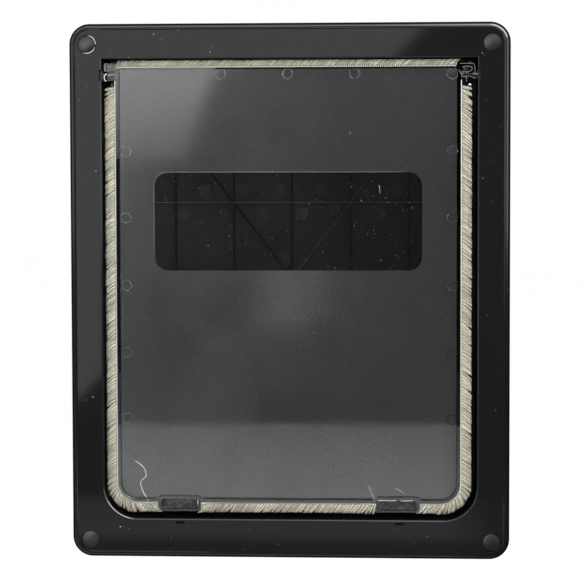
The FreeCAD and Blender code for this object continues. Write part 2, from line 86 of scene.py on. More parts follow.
# Strengths of the lights, and the places of the studio's edges in metres
KEY_LIGHT = 4.6
CORNER_LIGHT_LOW = 1.35
CORNER_LIGHT_HIGH = 3.0
SOFT_BOX_Y = -1.1
SOFT_BOX = (
    (0.510, 0.931),
    (0.095, 0.500),
    (-0.152, 0.253),
    (-0.326, 0.253),
    (-0.326, 0.046),
    (-0.368, 0.004),
    (-0.900, 0.004),
    (-0.900, 0.931),
)
CORNER_BOX = ((-0.165, 0.252), (-0.216, 0.114), (-0.325, 0.114), (-0.325, 0.252))
FILL_WATTS = 25.0
GLOW_WATTS = 230.0
AMBIENT = 0.42
GLOSS_LEFT = 0.06
GLOSS_RIGHT = 0.03
GLOSS_ABOVE = 1.3
GLOSS_SIDE = 1.8
GLOSS_CORNER = 10.0
GLOSS_SOFT = 2.0
CORNER_LAMP = (0.6, 0.0, 0.8)
TABLE_EDGE = -0.337
TABLE_NEAR = 1.2
TABLE_PEAK = 2.0
TABLE_PEAK_Y = -0.15
TABLE_FRONT = 0.4
TABLE_EDGE_ON = 0.15
TABLE_SIDE = 0.15
TABLE_PAST = 0.08
TABLE_FAR = 0.1
FLOOR_WHITE = 1.035
FLOOR_WHITE_PART = 0.94


# Shader nodes and the node groups that several finishes share

FLOAT = "NodeSocketFloat"


def feed(tree, socket, value):
    """Give a socket a number, a colour or the output of another node."""
    if isinstance(value, bpy.types.NodeSocket):
        tree.links.new(value, socket)
    else:
        socket.default_value = (*value, 1.0) if isinstance(value, tuple) else value


def add_node(tree, kind, inputs=(), **settings):
    """Shader node whose inputs are fed by name or by number."""
    node = tree.nodes.new("ShaderNode" + kind)
    for label, value in settings.items():
        setattr(node, label, value)
    for label, value in dict(inputs).items():
        feed(tree, node.inputs[label], value)
    return node


def new_group(name, inputs, outputs):
    """Node group with float inputs, and the outputs named with their socket kinds."""
    group = bpy.data.node_groups.new(name, "ShaderNodeTree")
    for label, value in inputs.items():
        socket = group.interface.new_socket(label, in_out="INPUT", socket_type=FLOAT)
        socket.default_value = value
    for label, kind in outputs.items():
        group.interface.new_socket(label, in_out="OUTPUT", socket_type=kind)
    given = group.nodes.new("NodeGroupInput").outputs
    result = group.nodes.new("NodeGroupOutput").inputs
    return group, given, result


def math_node(tree, operation, first, second):
    """Sum, product or the like of two values."""
    return add_node(tree, "Math", {0: first, 1: second}, operation=operation).outputs[0]


def axes(tree, kind="TexCoord", label="Object"):
    """X, Y and Z of a place, by default in the object's own coordinates."""
    place = add_node(tree, kind).outputs[label]
    return add_node(tree, "SeparateXYZ", {0: place}).outputs


def noise_value(tree, scale, detail):
    """Noise over the object's own coordinates, at so many waves a metre."""
    place = add_node(tree, "TexCoord").outputs["Object"]
    return add_node(tree, "TexNoise", {"Vector": place, "Scale": scale, "Detail": detail}).outputs["Fac"]


def ranged(tree, value, low, high, from_low=0.0, from_high=1.0):
    """Value carried over from one range to another and kept inside it."""
    limits = {"From Min": from_low, "From Max": from_high, "To Min": low, "To Max": high}
    return add_node(tree, "MapRange", {"Value": value, **limits}).outputs["Result"]


def bumped(tree, height, strength, distance):
    """Normal that follows a height, which the distance turns into metres."""
    values = {"Height": height, "Strength": strength, "Distance": distance}
    return add_node(tree, "Bump", values).outputs["Normal"]


def dust_group():
    """Sparse pale specks. A speck is where the surface cuts a small ball round a scattered point."""
    inputs = {"Spacing": 12.0, "Radius": 0.4, "Evenness": 1.0}
    group, given, result = new_group("dust_specks", inputs, {"Mask": FLOAT})
    place = add_node(group, "TexCoord").outputs["Object"]
    per_metre = math_node(group, "DIVIDE", 1000.0, given["Spacing"])
    cells = add_node(group, "TexVoronoi", {"Vector": place, "Scale": per_metre})
    distance = math_node(group, "MULTIPLY", cells.outputs["Distance"], given["Spacing"])
    edge = math_node(group, "DIVIDE", distance, given["Radius"])
    inside = math_node(group, "SUBTRACT", 1.0, edge)
    firm = math_node(group, "MULTIPLY", inside, 3.0)
    clamp = add_node(group, "Clamp", {"Value": firm})
    feed(group, result["Mask"], math_node(group, "MULTIPLY", clamp.outputs[0], given["Evenness"]))
    return group


def grain_group():
    """Fine moulded grain with slow cloudiness, as a height and as a value about one half."""
    outputs = {"Height": FLOAT, "Cloudiness": FLOAT}
    group, given, result = new_group("moulded_grain", {"Grain": 1.0, "Cloud": 60.0}, outputs)
    for size, label in (("Grain", "Height"), ("Cloud", "Cloudiness")):
        per_metre = math_node(group, "DIVIDE", 1000.0, given[size])
        feed(group, result[label], noise_value(group, per_metre, 3.0))
    return group


def fibre_group():
    """Uneven streaks of tone for wool fibres and woven tape."""
    group, given, result = new_group("fibre_tone", {"Size": 2.0}, {"Tone": FLOAT})
    per_metre = math_node(group, "DIVIDE", 1000.0, given["Size"])
    feed(group, result["Tone"], noise_value(group, per_metre, 4.0))
    return group


def bow_group():
    """Slight bow and waviness of the smoky sheet, which shift what it mirrors."""
    outputs = {"Normal": "NodeSocketVector"}
    group, given, result = new_group("sheet_bow", {"Bow": 0.075, "Wave": 0.12}, outputs)
    ramp = math_node(group, "MULTIPLY", axes(group)["Z"], given["Bow"])
    metres = math_node(group, "MULTIPLY", given["Wave"], MM)
    wave = math_node(group, "MULTIPLY", noise_value(group, 14.0, 1.0), metres)
    feed(group, result["Normal"], bumped(group, math_node(group, "ADD", ramp, wave), 1.0, 1.0))
    return group


dust_specks = dust_group()
sheet_bow = bow_group()
moulded_grain = grain_group()
fibre_tone = fibre_group()


# Finishes

def set_shader(tree, shader, **values):
    """Feed the main shader's sockets, named with underscores for blanks."""
    for label, value in values.items():
        feed(tree, shader.inputs[label.replace("_", " ")], value)


def new_material(name, **values):
    """Material with one main shader and the given values."""
    material = bpy.data.materials.new(name)
    material.use_nodes = True
    tree = material.node_tree
    shader = tree.nodes["Principled BSDF"]
    set_shader(tree, shader, **values)
    return material, tree, shader


def group_node(tree, group, **values):
    """Outputs of a shared node group with the given values."""
    return add_node(tree, "Group", values, node_tree=group).outputs


def mixed_colour(tree, mask, plain, marked):
    """Colour that goes from plain to marked with a mask."""
    colours = {"Factor": mask, "A": plain, "B": marked}
    return add_node(tree, "Mix", colours, data_type="RGBA").outputs["Result"]


def dust_mask(tree, *sizes):
    """Mask of coarse and fine dust, each with its spacing, radius and evenness."""
    masks = []
    for spacing, radius, evenness in sizes:
        specks = group_node(tree, dust_specks, Spacing=spacing, Radius=radius, Evenness=evenness)
        masks.append(specks["Mask"])
    return math_node(tree, "MAXIMUM", *masks)


def dusty_plastic(name, colour, roughness, specular, dust=1.0):
    """Moulded black plastic with fine grain, uneven satin and pale dust."""
    material, tree, shader = new_material(name, Specular_IOR_Level=specular)
    grain = group_node(tree, moulded_grain, Grain=0.5, Cloud=70.0)
    dusty = dust_mask(tree, (17.0, 0.62, 0.8 * dust), (6.0, 0.26, 0.3 * dust))
    tone = mixed_colour(tree, dusty, colour, (0.36, 0.36, 0.33))
    rough = ranged(tree, grain["Cloudiness"], 0.8 * roughness, 1.2 * roughness, 0.3, 0.7)
    normal = bumped(tree, grain["Height"], 0.03, 0.00003)
    set_shader(tree, shader, Base_Color=tone, Roughness=rough, Normal=normal)
    return material


def let_light_through(tree, shader, colour):
    """Shadow rays pass through the smoky plastic, tinted, so that what is behind it is lit."""
    shadow_ray = add_node(tree, "LightPath").outputs["Is Shadow Ray"]
    clear = add_node(tree, "BsdfTransparent", {"Color": colour})
    mix = add_node(tree, "MixShader", {"Fac": shadow_ray, 1: shader.outputs[0], 2: clear.outputs[0]})
    feed(tree, tree.nodes["Material Output"].inputs["Surface"], mix.outputs[0])


def smoky_material(name, tint, shade, rough, clearness, dust, bow=0.0, wave=0.12, gloss=0.5):
    """Smoky plastic. A rough face looks etched and a smooth one polished."""
    values = {"Transmission_Weight": clearness, "IOR": 1.58, "Specular_IOR_Level": gloss}
    material, tree, shader = new_material(name, **values)
    grain = group_node(tree, moulded_grain, Grain=0.7, Cloud=90.0)
    dusty = dust_mask(tree, (15.0, 0.6, 0.6 * dust), (7.0, 0.35, 0.3 * dust))
    place = axes(tree)
    haze_and_light = ranged(tree, grain["Cloudiness"], 0.0, 0.4, 0.38, 0.66)
    # Besides random haze, the X and Z terms are painted light: the tone darker towards the right and paler
    # near the top.
    for value, most, start, end in (
        (grain["Height"], 0.7, 0.3, 0.7),
        (place["X"], -0.75, -0.16, 0.12),
        (place["Z"], 0.3, 0.33, 0.43),
    ):
        haze_and_light = math_node(tree, "ADD", haze_and_light, ranged(tree, value, 0.0, most, start, end))
    haze_and_light = math_node(tree, "ADD", haze_and_light, 0.15)
    dark, light = (tuple(share * part for part in tint) for share in (0.55, 1.35))
    tone = mixed_colour(tree, dusty, mixed_colour(tree, haze_and_light, dark, light), (0.8, 0.8, 0.76))
    uneven = 0.25 * rough
    soft = ranged(tree, grain["Cloudiness"], rough - uneven, rough + uneven, 0.3, 0.7)
    set_shader(tree, shader, Base_Color=tone, Roughness=soft)
    if bow:
        set_shader(tree, shader, Normal=group_node(tree, sheet_bow, Bow=bow, Wave=wave)["Normal"])
    let_light_through(tree, shader, shade)
    return material


def fibre_material(name, dark, light, size, sheen=0.3):
    """Wool or woven tape, with streaks of tone."""
    values = {"Roughness": 0.85, "Sheen_Weight": sheen, "Specular_IOR_Level": 0.3}
    material, tree, shader = new_material(name, **values)
    tone = group_node(tree, fibre_tone, Size=size)["Tone"]
    spread = ranged(tree, tone, 0.0, 1.0, 0.32, 0.68)
    set_shader(tree, shader, Base_Color=mixed_colour(tree, spread, dark, light))
    return material


def steel_material(name, dull, bright):
    """Drawn steel with uneven polish."""
    material, tree, shader = new_material(name, Metallic=1.0)
    polish = group_node(tree, moulded_grain, Grain=0.3, Cloud=6.0)["Cloudiness"]
    tone = mixed_colour(tree, polish, dull, bright)
    set_shader(tree, shader, Base_Color=tone, Roughness=ranged(tree, polish, 0.18, 0.34, 0.3, 0.7))
    return material


def ferrite_material():
    """Dull brown-black magnet with rubbed streaks, and small bright spots that are painted glints."""
    material, tree, shader = new_material("ferrite", Metallic=0.1, Specular_IOR_Level=0.3)
    grain = group_node(tree, moulded_grain, Grain=1.1, Cloud=7.0)
    rubbed = ranged(tree, grain["Cloudiness"], 0.0, 0.45, 0.45, 0.75)
    # Small bright spots from the grain, painted glints.
    glint_spots = ranged(tree, grain["Height"], 0.0, 1.0, 0.62, 0.7)
    marks = math_node(tree, "MAXIMUM", rubbed, glint_spots)
    tone = mixed_colour(tree, marks, (0.006, 0.005, 0.0045), (0.1, 0.094, 0.088))
    rough = ranged(tree, grain["Height"], 0.25, 0.5, 0.3, 0.7)
    normal = bumped(tree, grain["Height"], 0.5, 0.0001)
    set_shader(tree, shader, Base_Color=tone, Roughness=rough, Normal=normal)
    return material


def plain_material(name, colour, roughness, gloss=0.5):
    """Even finish of a small part."""
    return new_material(name, Base_Color=colour, Roughness=roughness, Specular_IOR_Level=gloss)[0]


frame_plastic = dusty_plastic("frame_plastic", (0.0055, 0.0055, 0.0059), 0.06, 0.11)
frame_edge = dusty_plastic("frame_edge", (0.006, 0.006, 0.0064), 0.12, 0.5, dust=0.0)
# Darker, near-matte finish of side walls and set-back faces: painted shade.
frame_shade = dusty_plastic("frame_shade", (0.0022, 0.0022, 0.0024), 0.4, 0.03, dust=0.0)
panel_plastic = dusty_plastic("panel_plastic", (0.0175, 0.0175, 0.0165), 0.5, 0.1, dust=0.5)
# Pale finish of rib faces that look up: painted highlight.
panel_rib_highlight = dusty_plastic("panel_rib_highlight", (0.5, 0.49, 0.46), 0.4, 0.2, dust=0.0)
# Pale finish of the lines along the rib tips: painted highlight.
rib_tip_highlight = dusty_plastic("rib_tip_highlight", (0.11, 0.107, 0.098), 0.45, 0.2, dust=0.0)
rib_shade = dusty_plastic("rib_shade", (0.005, 0.005, 0.005), 0.7, 0.0, dust=0.0)
bush_plastic = dusty_plastic("bush_plastic", (0.008, 0.008, 0.0085), 0.35, 0.3, dust=0.0)
cap_plastic = dusty_plastic("cap_plastic", (0.0062, 0.0062, 0.0066), 0.36, 0.42, dust=0.6)
mark_satin = dusty_plastic("mark_satin", (0.021, 0.021, 0.019), 0.45, 0.2, dust=0.0)
SHEET_BOW = 0.11
PALE_SHADE = (0.5, 0.52, 0.52)
smoky_face = smoky_material("smoky_face", (0.3, 0.305, 0.3), (0.3, 0.31, 0.31), 0.075, 0.975, 1.0, SHEET_BOW)
smoky_etched = smoky_material(
    "smoky_etched", (0.3, 0.31, 0.305), (0.4, 0.41, 0.41), 0.55, 0.95, 0.0, gloss=0.1
)
smoky_window = smoky_material(
    "smoky_window", (0.575, 0.575, 0.58), PALE_SHADE, 0.03, 1.0, 0.3, SHEET_BOW, wave=0.01
)
smoky_polished = smoky_material(
    "smoky_polished", (0.33, 0.35, 0.34), PALE_SHADE, 0.012, 1.0, 0.2, SHEET_BOW, wave=0.02, gloss=0.15
)
smoky_edge = smoky_material("smoky_edge", (0.5, 0.52, 0.51), PALE_SHADE, 0.12, 0.9, 0.0, gloss=1.0)
smoky_mark = smoky_material("smoky_mark", (0.34, 0.35, 0.34), (0.3, 0.31, 0.31), 0.1, 0.95, 0.0, gloss=0.4)
# White of the washer and the tape's end, also painted glints on the collars and pockets.
white_and_glint = plain_material("white_and_glint", (0.75, 0.75, 0.74), 0.3)
# Pale finish of real scratches, and painted highlight on the ear ridges and the window line.
pale_scratch_and_highlight = plain_material("pale_scratch_and_highlight", (0.1, 0.1, 0.094), 0.2, 0.8)
# Matte black that paints shade: the latches' slots, the rim line and the pocket outlines.
shade_black = plain_material("shade_black", (0.0015, 0.0015, 0.0015), 0.7, 0.05)
# Three tones of one wool. Besides random tone, the dark one paints shade and the pale one paints light.
pile_shade = fibre_material("pile_shade", (0.2, 0.19, 0.14), (0.36, 0.345, 0.27), 0.8)
pile_fibre = fibre_material("pile_fibre", (0.42, 0.405, 0.31), (0.72, 0.7, 0.56), 0.8)
pile_light = fibre_material("pile_light", (0.6, 0.575, 0.44), (0.9, 0.87, 0.72), 0.8)
# Dark finish of the bar inside the pile: painted shade between the tufts.
pile_core_shade = fibre_material("pile_core_shade", (0.09, 0.082, 0.062), (0.22, 0.2, 0.155), 2.2)
dust_grey = fibre_material("dust_grey", (0.3, 0.3, 0.28), (0.75, 0.75, 0.7), 3.0, sheen=0.0)
thread_white = fibre_material("thread_white", (0.7, 0.7, 0.68), (0.9, 0.9, 0.88), 1.0, sheen=0.1)
woven_tape = fibre_material("woven_tape", (0.72, 0.72, 0.7), (0.97, 0.97, 0.96), 0.9, sheen=0.1)
stitch_pale = fibre_material("stitch_pale", (0.45, 0.45, 0.42), (0.7, 0.7, 0.66), 0.9, sheen=0.1)
stitch_dark = fibre_material("stitch_dark", (0.02, 0.02, 0.018), (0.08, 0.08, 0.07), 0.9, sheen=0.1)
bright_steel = steel_material("bright_steel", (0.3, 0.3, 0.31), (0.5, 0.5, 0.5))
dark_steel = steel_material("dark_steel", (0.02, 0.02, 0.02), (0.07, 0.07, 0.07))
ferrite = ferrite_material()


# Mesh helpers

def add_object(name, data):
    """Put a mesh, curve, lamp or camera in the scene."""
    added = bpy.data.objects.new(name, data)
    bpy.context.collection.objects.link(added)
    return added


def mesh_of(name, points, faces, *materials):
    """Mesh made of points and faces, with its materials."""
    mesh = bpy.data.meshes.new(name)
    mesh.from_pydata(points, [], faces)
    for material in materials:
        mesh.materials.append(material)
    return mesh


def new_piece(name, mesh, body):
    """Visible piece that rides on a body and goes by a material slot."""
    piece = add_object(name, mesh)
    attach(piece, body)
    return piece


def smooth(mesh, angle=32.0):
    """Smooth shading, with edges over the angle kept sharp."""
    mesh.shade_smooth()
    mesh.set_sharp_from_angle(angle=math.radians(angle))


LARGE_FACE = 4e-6


def keep_flat(mesh):
    """Large flat faces keep their own normals, so that only rounded edges and domes are smooth."""
    for face in mesh.polygons:
        if face.area > LARGE_FACE:
            face.use_smooth = False


def cleaned_copy(node):
    """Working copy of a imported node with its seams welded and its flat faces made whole."""
    work = bmesh.new()
    work.from_mesh(nodes[node].data)
    bmesh.ops.remove_doubles(work, verts=work.verts, dist=4e-6)
    bmesh.ops.dissolve_limit(work, angle_limit=math.radians(0.4), verts=work.verts, edges=work.edges)
    return work


def rounded_edges(work, keep, width, segments=2):
    """Round the sharp edges that keep() picks."""
    picked = []
    for edge in work.edges:
        if len(edge.link_faces) != 2 or edge.calc_face_angle(0.0) < math.radians(25.0):
            continue
        middle = (edge.verts[0].co + edge.verts[1].co) / 2
        if keep(edge, middle):
            picked.append(edge)
    bmesh.ops.bevel(
        work,
        geom=picked,
        offset=width,
        offset_type="OFFSET",
        segments=segments,
        profile=0.5,
        affect="EDGES",
        clamp_overlap=True,
    )


def finish_piece(work, name, body, materials, replaced=None, angle=32.0, flat=True):
    """Turn the worked mesh into a piece of the object, by default with its large faces kept flat."""
    mesh = bpy.data.meshes.new(name)
    work.to_mesh(mesh)
    work.free()
    for material in materials:
        mesh.materials.append(material)
    smooth(mesh, angle)
    if flat:
        keep_flat(mesh)
    piece = new_piece(name, mesh, body)
    if replaced:
        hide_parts(replaced)
    return piece


def lathe(work, profile, place, sides=48, material=0):
    """Turn a profile of (radius, height) points about the place's own Z. Ends on the axis are closed."""
    rings = []
    for radius, height in profile:
        if radius < 1e-9:
            rings.append([work.verts.new(place @ Vector((0.0, 0.0, height)))])
            continue
        ring = []
        for step in range(sides):
            angle = 2 * math.pi * step / sides
            point = Vector((radius * math.cos(angle), radius * math.sin(angle), height))
            ring.append(work.verts.new(place @ point))
        rings.append(ring)
    for low, high in zip(rings, rings[1:]):
        for step in range(sides):
            after = (step + 1) % sides
            corners = []
            for ring, index in ((low, step), (low, after), (high, after), (high, step)):
                vertex = ring[index] if len(ring) > 1 else ring[0]
                if vertex not in corners:
                    corners.append(vertex)
            if len(corners) > 2:
                work.faces.new(corners).material_index = material


def facing(x, y, z, outward):
    """Place on a level plane whose own Z points along -Y for outward -1 and along +Y for 1."""
    turn = Matrix.Rotation(math.radians(-90.0 * outward), 4, "X")
    return Matrix.Translation(Vector((x, y, z))) @ turn


# Frames

EDGE_DEPTH = 4.2 * MM
EDGE_ROUND = 0.35 * MM
FRAME_FACE, FRAME_EDGE, FRAME_SHADE = range(3)
FRAME_FINISHES = [frame_plastic, frame_edge, frame_shade]


def build_frame(node, name, outward):
    """Frame with its outer edges rounded: rim step, face, lip of the opening, recesses and slots."""
    work = cleaned_copy(node)
    face = frame_low.y if outward < 0 else -frame_low.y
    inner = abs(face) - EDGE_DEPTH

    def near_face(edge, middle):
        return edge.calc_length() > 0.5 * MM and min(v.co.y * outward for v in edge.verts) > inner

    rounded_edges(work, near_face, EDGE_ROUND)
    for part in work.faces:
        lean = part.normal.y * outward
        set_back = abs(face) - part.calc_center_median().y * outward
        # Chamfers take the edge finish; side walls and faces set back from the face take the darker finish,
        # painted shade.
        if 0.3 < lean < 0.93:
            part.material_index = FRAME_EDGE
        elif lean <= 0.3 or set_back > 0.5 * MM:
            part.material_index = FRAME_SHADE
    finish_piece(work, name, "frame", FRAME_FINISHES, node)


FACE_INSET = 2.0 * MM
FACE_CORNER = 16.0 * MM
# Rings of the bead as inset, rise and finish; the first band, in the darker finish, is a line of painted
# shade.
BEAD = ((1.65, 0.02, 2), (2.35, 0.02, 1), (2.75, 0.2, 0), (3.7, 0.0, 0))


def face_outline(inset):
    """Points round the raised face, so far inside its edge."""
    points = []
    side = frame_high.x - FACE_INSET - FACE_CORNER
    low = FACE_INSET + FACE_CORNER
    high = frame_high.z - FACE_INSET - FACE_CORNER
    radius = FACE_CORNER - inset
    for index, (x, z) in enumerate(((side, high), (-side, high), (-side, low), (side, low))):
        for step in range(13):
            angle = math.pi / 2 * (index + step / 12)
            points.append((x + radius * math.cos(angle), z + radius * math.sin(angle)))
    return points


def build_bead(name, outward):
    """Fine dark line of painted shade, and a bead, inside the bevel of a frame's face."""
    work = bmesh.new()
    face = -outward * frame_low.y
    before = None
    for inset, rise, material in BEAD:
        ring = [work.verts.new((x, face + outward * rise * MM, z)) for x, z in face_outline(inset * MM)]
        if before:
            outer, kind = before
            for step in range(len(ring)):
                after = (step + 1) % len(ring)
                work.faces.new((outer[step], outer[after], ring[after], ring[step])).material_index = kind
        before = (ring, material)
    bmesh.ops.recalc_face_normals(work, faces=work.faces)
    if outward * sum(part.normal.y for part in work.faces) < 0:
        bmesh.ops.reverse_faces(work, faces=work.faces)
    finish_piece(work, name, "frame", FRAME_FINISHES, flat=False, angle=5.0)


# Flap

FIELD_FACE, ETCHED_FACE, WINDOW_FACE, RIM_FACE, RIM_EDGE = range(5)
SHEET_FRONT = -20.0 * MM
SHEET_REAR = -17.0 * MM


def build_flap():
    """Smoky flap: etched sheet, polished window, rim, ears, barrels and magnet pockets."""
    work = cleaned_copy("flap_panel")

    def outer_edges(edge, middle):
        return edge.calc_length() > 0.8 * MM and middle.y < flap_low.y + 0.1 * MM

    rounded_edges(work, outer_edges, 0.4 * MM)
    for face in work.faces:
        middle = face.calc_center_median()
        if 0.25 < -face.normal.y < 0.97:
            face.material_index = RIM_EDGE
        elif abs(face.normal.y) < 0.99:
            face.material_index = RIM_FACE
        elif abs(middle.y - SHEET_FRONT) < 0.02 * MM:
            face.material_index = FIELD_FACE
        elif abs(middle.y - SHEET_REAR) < 0.02 * MM:
            face.material_index = ETCHED_FACE
        elif abs(middle.y - SHEET_FRONT) < 2 * WINDOW_STEP or abs(middle.y - SHEET_REAR) < 2 * WINDOW_STEP:
            face.material_index = WINDOW_FACE
        else:
            face.material_index = RIM_FACE
    materials = [smoky_face, smoky_etched, smoky_window, smoky_polished, smoky_edge]
    finish_piece(work, "smoky_flap", "flap", materials, "flap_panel")


RING_SECTION = 6


def add_ring(work, x, y, z, radius, width, height):
    """Low round ridge on a face that looks along -Y."""
    profile = []
    for step in range(RING_SECTION + 1):
        across = -1.0 + 2.0 * step / RING_SECTION
        rise = height * (1.0 - across * across)
        profile.append((radius + across * width / 2, rise))
    profile.append((radius + width / 2, -0.02 * MM))
    profile.append((radius - width / 2, -0.02 * MM))
    profile.append(profile[0])
    lathe(work, profile, facing(x, y, z, -1), 40)


FLAP_MARK_ROWS = (431.8, 363.5, 304.3, 243.5, 183.2, 123.9)
FLAP_MARK_SIDES = (-146.6, 144.8)
FLAP_MARK_TOP = ((-61.5, 432.3), (-1.5, 432.3), (58.0, 432.3))


def build_flap_marks():
    """Round marks that the ejector pins left down both sides and along the top of the flap."""
    work = bmesh.new()
    places = [(x, z) for z in FLAP_MARK_ROWS for x in FLAP_MARK_SIDES]
    places += list(FLAP_MARK_TOP)
    for x, z in places:
        add_ring(work, x * MM, -20.0 * MM, z * MM, 4.5 * MM, 0.6 * MM, 0.03 * MM)
    bmesh.ops.remove_doubles(work, verts=work.verts, dist=1e-7)
    bmesh.ops.recalc_face_normals(work, faces=work.faces)
    finish_piece(work, "flap_marks", "flap", [smoky_mark], flat=False)


RIM_LINE_INSET = 2.7 * MM
RIM_LINE_TOP = 150.0 * MM


def build_rim_lines():
    """Dark line inside the flap's rim, painted shade of its groove, round its lower corners and along its
    bottom.
    """
    radius = FLAP_CORNER - RIM_LINE_INSET
    edge = FLAP_HALF - RIM_LINE_INSET
    low = FLAP_BOTTOM + RIM_LINE_INSET
    outer = MAGNET_POCKET_OUTER + 1.5 * MM
    inner = MAGNET_POCKET_INNER - 1.5 * MM
    corner = [(edge, RIM_LINE_TOP), (edge, (RIM_LINE_TOP + low + radius) / 2)]
    for step in range(7):
        angle = math.pi / 2 * step / 6
        corner.append((edge - radius * (1.0 - math.cos(angle)), low + radius * (1.0 - math.sin(angle))))
    corner.append((outer, low))
    left = [(-x, z) for x, z in corner]
    middle = [(-inner, low), (0.0, low), (inner, low)]
    for name, route in (("left", left), ("right", corner), ("middle", middle)):
        points = [((FLAP_X + x) / MM, z / MM) for x, z in route]
        add_fibre("rim_line_" + name, points, flap_low.y, 0.5 * MM, shade_black, "flap")


# Closing panel

PANEL_RIB_TIP = 19.0 * MM
PANEL_MARK_HIGH = (
    (-80.8, 328.0),
    (-45.0, 328.0),
    (-11.1, 328.0),
    (25.1, 328.0),
    (65.6, 323.6),
    (95.6, 328.0),
)
PANEL_MARK_LOW = (
    (-99.4, 306.4),
    (-63.5, 306.4),
    (-27.7, 306.4),
    (8.6, 306.4),
    (38.2, 310.9),
    (79.2, 306.4),
    (113.8, 306.4),
    (-7.6, 266.1),
)


def build_closing_panel():
    """Ribbed panel with the ribs' edges rounded, painted pale as highlight where they look up or up to the
    left, and painted dark as shade on the rib tips and sides.
    """
    work = cleaned_copy("closing_panel")

    def rib_edges(edge, middle):
        on_ribs = middle.y < PANEL_RIB_TIP + 0.05 * MM
        return edge.calc_length() > 0.8 * MM and (on_ribs or middle.y > 25.9 * MM)

    rounded_edges(work, rib_edges, 0.4 * MM)
    for face in work.faces:
        in_front = face.calc_center_median().y < 23.0 * MM
        # Faces that look up or up to the left are painted pale as highlight; the other faces of the ribs are
        # painted dark as shade.
        if 0.2 < -face.normal.y < 0.97 and face.normal.z > 0.15 and face.normal.x < 0.1:
            face.material_index = 1
        elif in_front:
            face.material_index = 2
    materials = [panel_plastic, panel_rib_highlight, rib_shade]
    finish_piece(work, "ribbed_panel", "panel", materials, "closing_panel")


RIB_EDGE_X = 159.6 * MM
RIB_CENTRE = 247.8 * MM
RIB_REACH_Z = 207.0 * MM


def build_rib_lines():
    """Pale line of painted highlight along the tips of the panel's level ribs and of the brace that rises to
    the right.
    """
    lines = []
    for step in range(-2, 3):
        z = RIB_CENTRE + step * RIB_REACH_Z / 3
        lines.append(((-RIB_EDGE_X, z), (RIB_EDGE_X, z)))
    low, high = RIB_CENTRE - RIB_REACH_Z, RIB_CENTRE + RIB_REACH_Z
    lines.append(((-RIB_EDGE_X, low), (RIB_EDGE_X, high)))
    for index, line in enumerate(lines):
        points = [(x / MM, z / MM + 0.3) for x, z in line]
        name = f"rib_line_{index + 1}"
        add_fibre(name, points, PANEL_RIB_TIP, 0.5 * MM, rib_tip_highlight, "panel")


def build_panel_marks():
    """Round marks of the ejector pins between the panel's ribs."""
    work = bmesh.new()
    section = ((0.0, 0.12), (5.2, 0.12), (5.5, 0.0), (5.5, -0.02), (0.0, -0.02))
    disc = [(radius * MM, height * MM) for radius, height in section]
    for x, z in PANEL_MARK_HIGH + PANEL_MARK_LOW:
        lathe(work, disc, facing(x * MM, 23.5 * MM, z * MM, -1), 40)
    bmesh.ops.recalc_face_normals(work, faces=work.faces)
    finish_piece(work, "panel_marks", "panel", [mark_satin], flat=False)


# Brush strips. A strip is a route along the flap's edge, with a tape, a core and many tufts.

TAPE = 1.1 * MM
STITCH_GAP = 1.1 * MM
STRIP_Y = -18.5 * MM
TUFT_STEP = 0.46 * MM
TUFT_ROWS = 4
SIDE_TOP = 426.3 * MM
PILE_DROP = 5.0 * MM
LOOSE_LENGTH = 16.0 * MM
MAGNET_POCKET_OUTER = 117.75 * MM
MAGNET_POCKET_INNER = 78.55 * MM


def side_route(side):
    """Route of a side strip, from its top down, round the flap's corner to the magnet pocket."""
    straight = SIDE_TOP - FLAP_BOTTOM - FLAP_CORNER
    bend = FLAP_CORNER * math.pi / 2
    level = FLAP_HALF - FLAP_CORNER - MAGNET_POCKET_OUTER

    def place(t):
        if t < straight:
            edge = Vector((FLAP_X + side * FLAP_HALF, STRIP_Y, SIDE_TOP - t))
            return edge, Vector((side, 0, 0)), Vector((0, 0, -1))
        if t < straight + bend:
            angle = (t - straight) / FLAP_CORNER
            out = Vector((side * math.cos(angle), 0, -math.sin(angle)))
            along = Vector((-side * math.sin(angle), 0, -math.cos(angle)))
            middle = Vector((FLAP_X + side * (FLAP_HALF - FLAP_CORNER), STRIP_Y, FLAP_BOTTOM + FLAP_CORNER))
            return middle + out * FLAP_CORNER, out, along
        x = FLAP_X + side * (FLAP_HALF - FLAP_CORNER - (t - straight - bend))
        return Vector((x, STRIP_Y, FLAP_BOTTOM)), Vector((0, 0, -1)), Vector((-side, 0, 0))

    def pile(t):
        blend = min(1.0, max(0.0, (t - straight) / bend))
        return SIDE_PILE + (BOTTOM_PILE - SIDE_PILE) * blend

    length = straight + bend + level
    return {"place": place, "length": length, "pile": pile, "pile_start": PILE_DROP, "lean": 36.0}


def level_route(x_start, x_end, z, up, pile, lean, sag=0.0):
    """Route of a straight strip on the flap's top or bottom edge, in the way that its tufts lean."""
    way = 1.0 if x_end > x_start else -1.0
    length = abs(x_end - x_start)

    def place(t):
        loose = max(0.0, 1.0 - min(t, length - t) / LOOSE_LENGTH)
        away = up * sag * loose * loose
        return Vector((x_start + way * t, STRIP_Y, z + away)), Vector((0, 0, up)), Vector((way, 0, 0))

    return {"place": place, "length": length, "pile": lambda t: pile, "pile_start": 0.0, "lean": lean}


